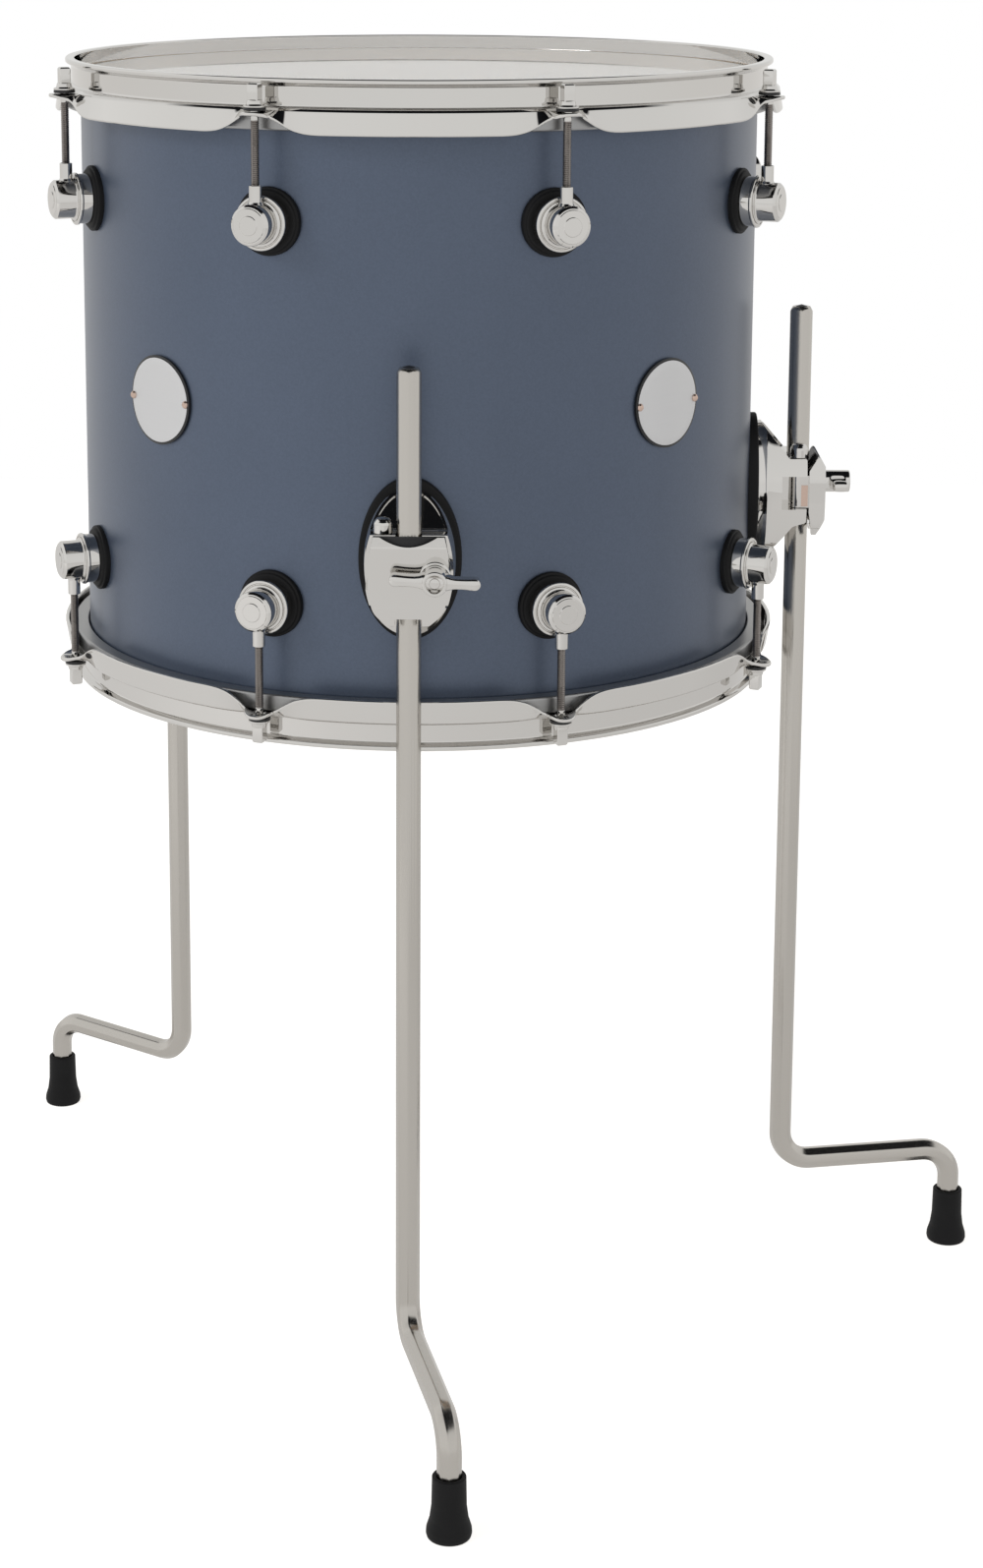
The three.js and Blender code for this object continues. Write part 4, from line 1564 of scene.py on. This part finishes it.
for name, angle in leg_angles.items():
    bolt = moved(wing_bolt_shape, at(angle, bracket_height))
    node = f"{name}_wing_bolt"
    piece(f"{node}_casting", bolt, [chrome], f"{name}_bolt", [node])

# Legs: half-inch octagonal steel bar, cut, chamfered at the top, bent twice cold and chromed. A
# black plug closes the upper end. The bracket's clamp holds each leg at its height.
bar_colour = "c2beb8"
bar_line_width = 1.11 * mm
bar_line_share = 0.02
bar_line_depth = 0.003 * mm
leg_turns = {"front": 12.7, "right": 11.1, "left": 9}
rod_across_flats = 12.7
leg_top = 615.7
leg_offset = 113.75
leg_step = 63
leg_bend = 19
leg_end = 8.5
leg_chamfer = 3.2
leg_chamfer_width = 1.6
leg_crown = 0.12
crown_share = 1.05
corner_share = 1.072
leg_section_steps = 9
bend_steps = 20
plug_radius = 3.5
plug_depth = 2
plug_rise = 1.3


def bar_section():
    """Outline of the bar: an octagon whose flats are slightly crowned and whose corners are worn
    round by polishing, so it lies between the octagon and its round blank."""
    flat = rod_across_flats / 2
    outline = []
    for k in range(8 * leg_section_steps):
        turn = 2 * math.pi * k / (8 * leg_section_steps)
        off_corner = (turn + math.pi / 8) % (math.pi / 4) - math.pi / 8
        off_flat = math.pi / 8 - abs(off_corner)
        blunt = min(flat / math.cos(off_flat), flat * corner_share)
        radius = blunt * (1 - leg_crown) + flat * crown_share * leg_crown
        outline.append((radius * math.cos(turn), radius * math.sin(turn), 0))
    return outline


def leg_rod_tree():
    """Geometry nodes that sweep a bar's section along a bent line."""
    tree = bpy.data.node_groups.new("bent bar", "GeometryNodeTree")
    tree.interface.new_socket("Geometry", in_out="INPUT", socket_type="NodeSocketGeometry")
    tree.interface.new_socket("Bend radius", in_out="INPUT", socket_type="NodeSocketFloat")
    tree.interface.new_socket("Section", in_out="INPUT", socket_type="NodeSocketObject")
    tree.interface.new_socket("Finish", in_out="INPUT", socket_type="NodeSocketMaterial")
    tree.interface.new_socket("Geometry", in_out="OUTPUT", socket_type="NodeSocketGeometry")
    given = add_node(tree, "NodeGroupInput")
    path = add_node(
        tree,
        "GeometryNodeFilletCurve",
        {
            "Curve": given.outputs["Geometry"],
            "Radius": given.outputs["Bend radius"],
            "Count": bend_steps,
        },
        mode="POLY",
    )
    section = add_node(tree, "GeometryNodeObjectInfo", {"Object": given.outputs["Section"]})
    size = add_node(tree, "GeometryNodeInputRadius")
    bar = add_node(
        tree,
        "GeometryNodeCurveToMesh",
        {
            "Curve": path.outputs[0],
            "Profile Curve": section.outputs["Geometry"],
            "Scale": size.outputs[0],
            "Fill Caps": True,
        },
    )
    whole = add_node(tree, "GeometryNodeRealizeInstances", {0: bar.outputs[0]})
    painted = add_node(
        tree, "GeometryNodeSetMaterial", {"Geometry": whole.outputs[0], "Material": given.outputs["Finish"]}
    )
    add_node(tree, "NodeGroupOutput", {"Geometry": painted.outputs[0]})
    return tree


def poly_line(name, points, closed=False):
    """A curve object with straight runs through its points."""
    line = bpy.data.curves.new(name, "CURVE")
    line.dimensions = "3D"
    line.twist_mode = "MINIMUM"
    spline = line.splines.new("POLY")
    spline.points.add(len(points) - 1)
    for knot, point in zip(spline.points, points):
        knot.co = (*point, 1)
    spline.use_cyclic_u = closed
    return bpy.data.objects.new(name, line)


def grown(holder, tree, values):
    """The plain mesh that a geometry node tree makes of an object, with its named inputs set."""
    bpy.context.collection.objects.link(holder)
    growth = holder.modifiers.new("growth", "NODES")
    growth.node_group = tree
    for item in tree.interface.items_tree:
        if item.name in values and item.in_out == "INPUT":
            growth[item.identifier] = values[item.name]
    bpy.context.view_layer.update()
    evaluated = bpy.context.evaluated_depsgraph_get()
    mesh = bpy.data.meshes.new_from_object(
        holder.evaluated_get(evaluated), preserve_all_data_layers=True, depsgraph=evaluated
    )
    bpy.data.objects.remove(holder)
    return mesh


# Drawn steel bar, chromed after bending: less of a mirror than the castings, greyer, with drawing
# lines along it. Real lines are finer and are drawn this coarse so that they show.
chromed_bar, tree, where = new_finish("chromed drawn bar")
drawn = add_node(tree, "ShaderNodeMapping", {"Vector": where, "Scale": (1, 1, bar_line_share)})
lines = add_node(
    tree, "ShaderNodeTexNoise", {"Vector": drawn.outputs[0], "Scale": 1 / bar_line_width, "Detail": 3}
)
line_range = add_node(
    tree, "ShaderNodeMapRange", {"Value": lines.outputs["Fac"], "To Min": 0.15, "To Max": 0.28}
)
line_bump = add_node(
    tree, "ShaderNodeBump", {"Height": lines.outputs["Fac"], "Distance": bar_line_depth}
)
surfaced(
    tree,
    {
        "Base Color": hex_colour(bar_colour),
        "Metallic": 1.0,
        "Roughness": line_range.outputs[0],
        "Normal": line_bump.outputs[0],
    },
)

plug_profile = rounded(
    [
        (0, -plug_depth, 0),
        (plug_radius, -plug_depth, 0.2),
        (plug_radius, 0.2, 0.6),
        (0, plug_rise, 0),
    ]
)
plug_shape = turned(plug_profile, 48)
chamfer_section = [
    (leg_corner - leg_chamfer_width, leg_top + 0.1),
    (leg_corner + 0.1, leg_top - leg_chamfer),
    (leg_corner + 3, leg_top + 0.1),
]
chamfer_cutter = turned(chamfer_section, 96, loop=True)
bar_tree = leg_rod_tree()
section_line = poly_line("bar section", bar_section(), closed=True)
bpy.context.collection.objects.link(section_line)
for name, angle in leg_angles.items():
    turn = math.radians(leg_turns[name])
    step = Vector((math.sin(turn), -math.cos(turn), 0)) * leg_offset
    points = [
        Vector((0, 0, leg_top)),
        Vector((0, 0, leg_step)),
        Vector((0, 0, leg_step)) + step,
        Vector((0, 0, leg_end)) + step,
    ]
    leg_line = poly_line("leg line", points)
    values = {"Bend radius": float(leg_bend), "Section": section_line, "Finish": chromed_bar}
    leg_mesh = grown(leg_line, bar_tree, values)
    leg_mesh = carved(joined(leg_mesh), ("DIFFERENCE", chamfer_cutter))
    place = at(angle) @ Matrix.Translation((0, -leg_axis, 0))
    body, node = f"{name}_leg_and_foot", f"{name}_leg"
    piece(f"{node}_bar", moved(leg_mesh, place), [chromed_bar], body, [node])
    plug = moved(plug_shape, Matrix.Translation((0, 0, leg_top)), place)
    piece(f"{node}_plug", plug, [nylon], body, [])
bpy.data.objects.remove(section_line)

# Feet: moulded black rubber, pushed on to the ends of the legs and held by their own grip. Their
# sides are hollow, and they widen at the floor.
foot_height = 35
foot_sole = 8
foot_top = leg_room + 2.1
foot_bore = leg_corner + 0.15
foot_profile = rounded(
    [
        (0, 0, 0),
        (foot_top + 2.6, 0, 0.8),
        (foot_top + 3.2, 2.2, 1.0),
        (foot_top + 3.0, 5, 3),
        (foot_top + 1.3, 10.5, 5),
        (foot_top + 0.3, 18, 8),
        (foot_top, foot_height - 2, 1),
        (foot_top, foot_height, 0.9),
        (foot_bore, foot_height, 0.4),
        (foot_bore, foot_sole, 0.2),
        (0, foot_sole, 0),
    ]
)
foot_shape = turned(foot_profile, 64)
for name, angle in leg_angles.items():
    place = (
        at(angle)
        @ Matrix.Translation((0, -leg_axis, 0))
        @ Matrix.Rotation(math.radians(leg_turns[name]), 4, "Z")
        @ Matrix.Translation((0, -leg_offset, 0))
    )
    body, node = f"{name}_leg_and_foot", f"{name}_foot"
    piece(f"{node}_rubber", moved(foot_shape, place), [rubber], body, [node])

# Fixings inside the shell: two machine screws of nickelled steel for each lug and two for each
# bracket, each on a pressed washer and driven from inside.
screw_spread = 9.5
bracket_screw_spread = 30
washer_out = 6
washer_high = 1.2
screw_head_radius = 4.4
screw_head_high = 3
screw_slot = 1.1
slot_reach = 6
slot_floor = washer_high + 1.4
slot_top = 9


def screws_tree():
    """Geometry nodes that set a screw at each point, its head towards the drum's axis."""
    tree = bpy.data.node_groups.new("inner screws", "GeometryNodeTree")
    tree.interface.new_socket("Geometry", in_out="INPUT", socket_type="NodeSocketGeometry")
    tree.interface.new_socket("Screw", in_out="INPUT", socket_type="NodeSocketObject")
    tree.interface.new_socket("Finish", in_out="INPUT", socket_type="NodeSocketMaterial")
    tree.interface.new_socket("Geometry", in_out="OUTPUT", socket_type="NodeSocketGeometry")
    given = add_node(tree, "NodeGroupInput")
    place = add_node(tree, "GeometryNodeInputPosition")
    inwards = add_node(
        tree, "ShaderNodeVectorMath", {0: place.outputs[0], 1: (-1, -1, 0)}, operation="MULTIPLY"
    )
    facing = add_node(
        tree, "FunctionNodeAlignRotationToVector", {"Vector": inwards.outputs[0]}, axis="Z"
    )
    screw = add_node(tree, "GeometryNodeObjectInfo", {"Object": given.outputs["Screw"]})
    screws = add_node(
        tree,
        "GeometryNodeInstanceOnPoints",
        {
            "Points": given.outputs["Geometry"],
            "Instance": screw.outputs["Geometry"],
            "Rotation": facing.outputs[0],
        },
    )
    whole = add_node(tree, "GeometryNodeRealizeInstances", {0: screws.outputs[0]})
    painted = add_node(
        tree, "GeometryNodeSetMaterial", {"Geometry": whole.outputs[0], "Material": given.outputs["Finish"]}
    )
    add_node(tree, "NodeGroupOutput", {"Geometry": painted.outputs[0]})
    return tree


slot_half = screw_slot / 2
slot_cut = [
    (x * slot_half, y * slot_reach) for x, y in ((-1, -1), (1, -1), (1, 1), (-1, 1))
]
slot_block = skin([[(x, y, z) for x, y in slot_cut] for z in (slot_floor, slot_top)])
screw_top = washer_high + screw_head_high
screw_profile = rounded(
    [
        (0, 0, 0),
        (washer_out, 0, 0.3),
        (washer_out, washer_high, 0.4),
        (screw_head_radius, washer_high, 0.1),
        (screw_head_radius, washer_high + screw_head_high * 0.6, 1.2),
        (screw_head_radius * 0.5, screw_top, 1.5),
        (0, screw_top, 0),
    ]
)
screw_shape = carved(
    turned(screw_profile, 40),
    ("DIFFERENCE", slot_block),
    ("DIFFERENCE", moved(slot_block, Matrix.Rotation(math.pi / 2, 4, "Z"))),
)
screw_points = []
for side in (-1, 1):
    for height in lug_heights.values():
        screw_points += [(angle, height + side * screw_spread) for angle in rod_angles]
    bracket_screw = bracket_height + side * bracket_screw_spread
    screw_points += [(angle, bracket_screw) for angle in leg_angles.values()]
screw_seat = inner_radius - seat_room
point_mesh = bpy.data.meshes.new("screw points")
point_mesh.from_pydata(
    [
        (screw_seat * math.sin(math.radians(a)), -screw_seat * math.cos(math.radians(a)), h)
        for a, h in screw_points
    ],
    [],
    [],
)
sample_screw = bpy.data.objects.new("sample screw", screw_shape)
bpy.context.collection.objects.link(sample_screw)
screws = grown(
    bpy.data.objects.new("screw points", point_mesh),
    screws_tree(),
    {"Screw": sample_screw, "Finish": nickel},
)
bpy.data.objects.remove(sample_screw)
piece("inner_screws", moved(screws, at(0)), [nickel], "drum", [])

# Vent: an eyelet of pressed and chromed brass, pushed through the hole at the back of the shell
# and flared inside. It lets air out when the drum is struck.
eyelet_sheet = 0.8
eyelet_radius = vent_radius - 0.1
eyelet_bore = eyelet_radius - eyelet_sheet
eyelet_end = -shell_wall - 0.9
eyelet_profile = rounded(
    [
        (eyelet_bore, eyelet_end, 0.3),
        (eyelet_bore, 1.2, 0.6),
        (vent_radius + 1.5, 1.5, 0.5),
        (vent_radius + 3.4, 0.1, 0.4),
        (eyelet_radius, 0.05, 0.1),
        (eyelet_radius, -shell_wall - 0.05, 0.1),
        (vent_radius + 1.8, -shell_wall - 0.1, 0.2),
        (vent_radius + 1.6, eyelet_end, 0.3),
    ],
    closed=True,
)
eyelet_shape = moved(
    turned(eyelet_profile, 64, loop=True),
    outward,
    Matrix.Translation((0, -shell_radius - seat_room, 0)),
)
piece("vent_eyelet", moved(eyelet_shape, at(180, badge_height)), [chrome], "drum", [])
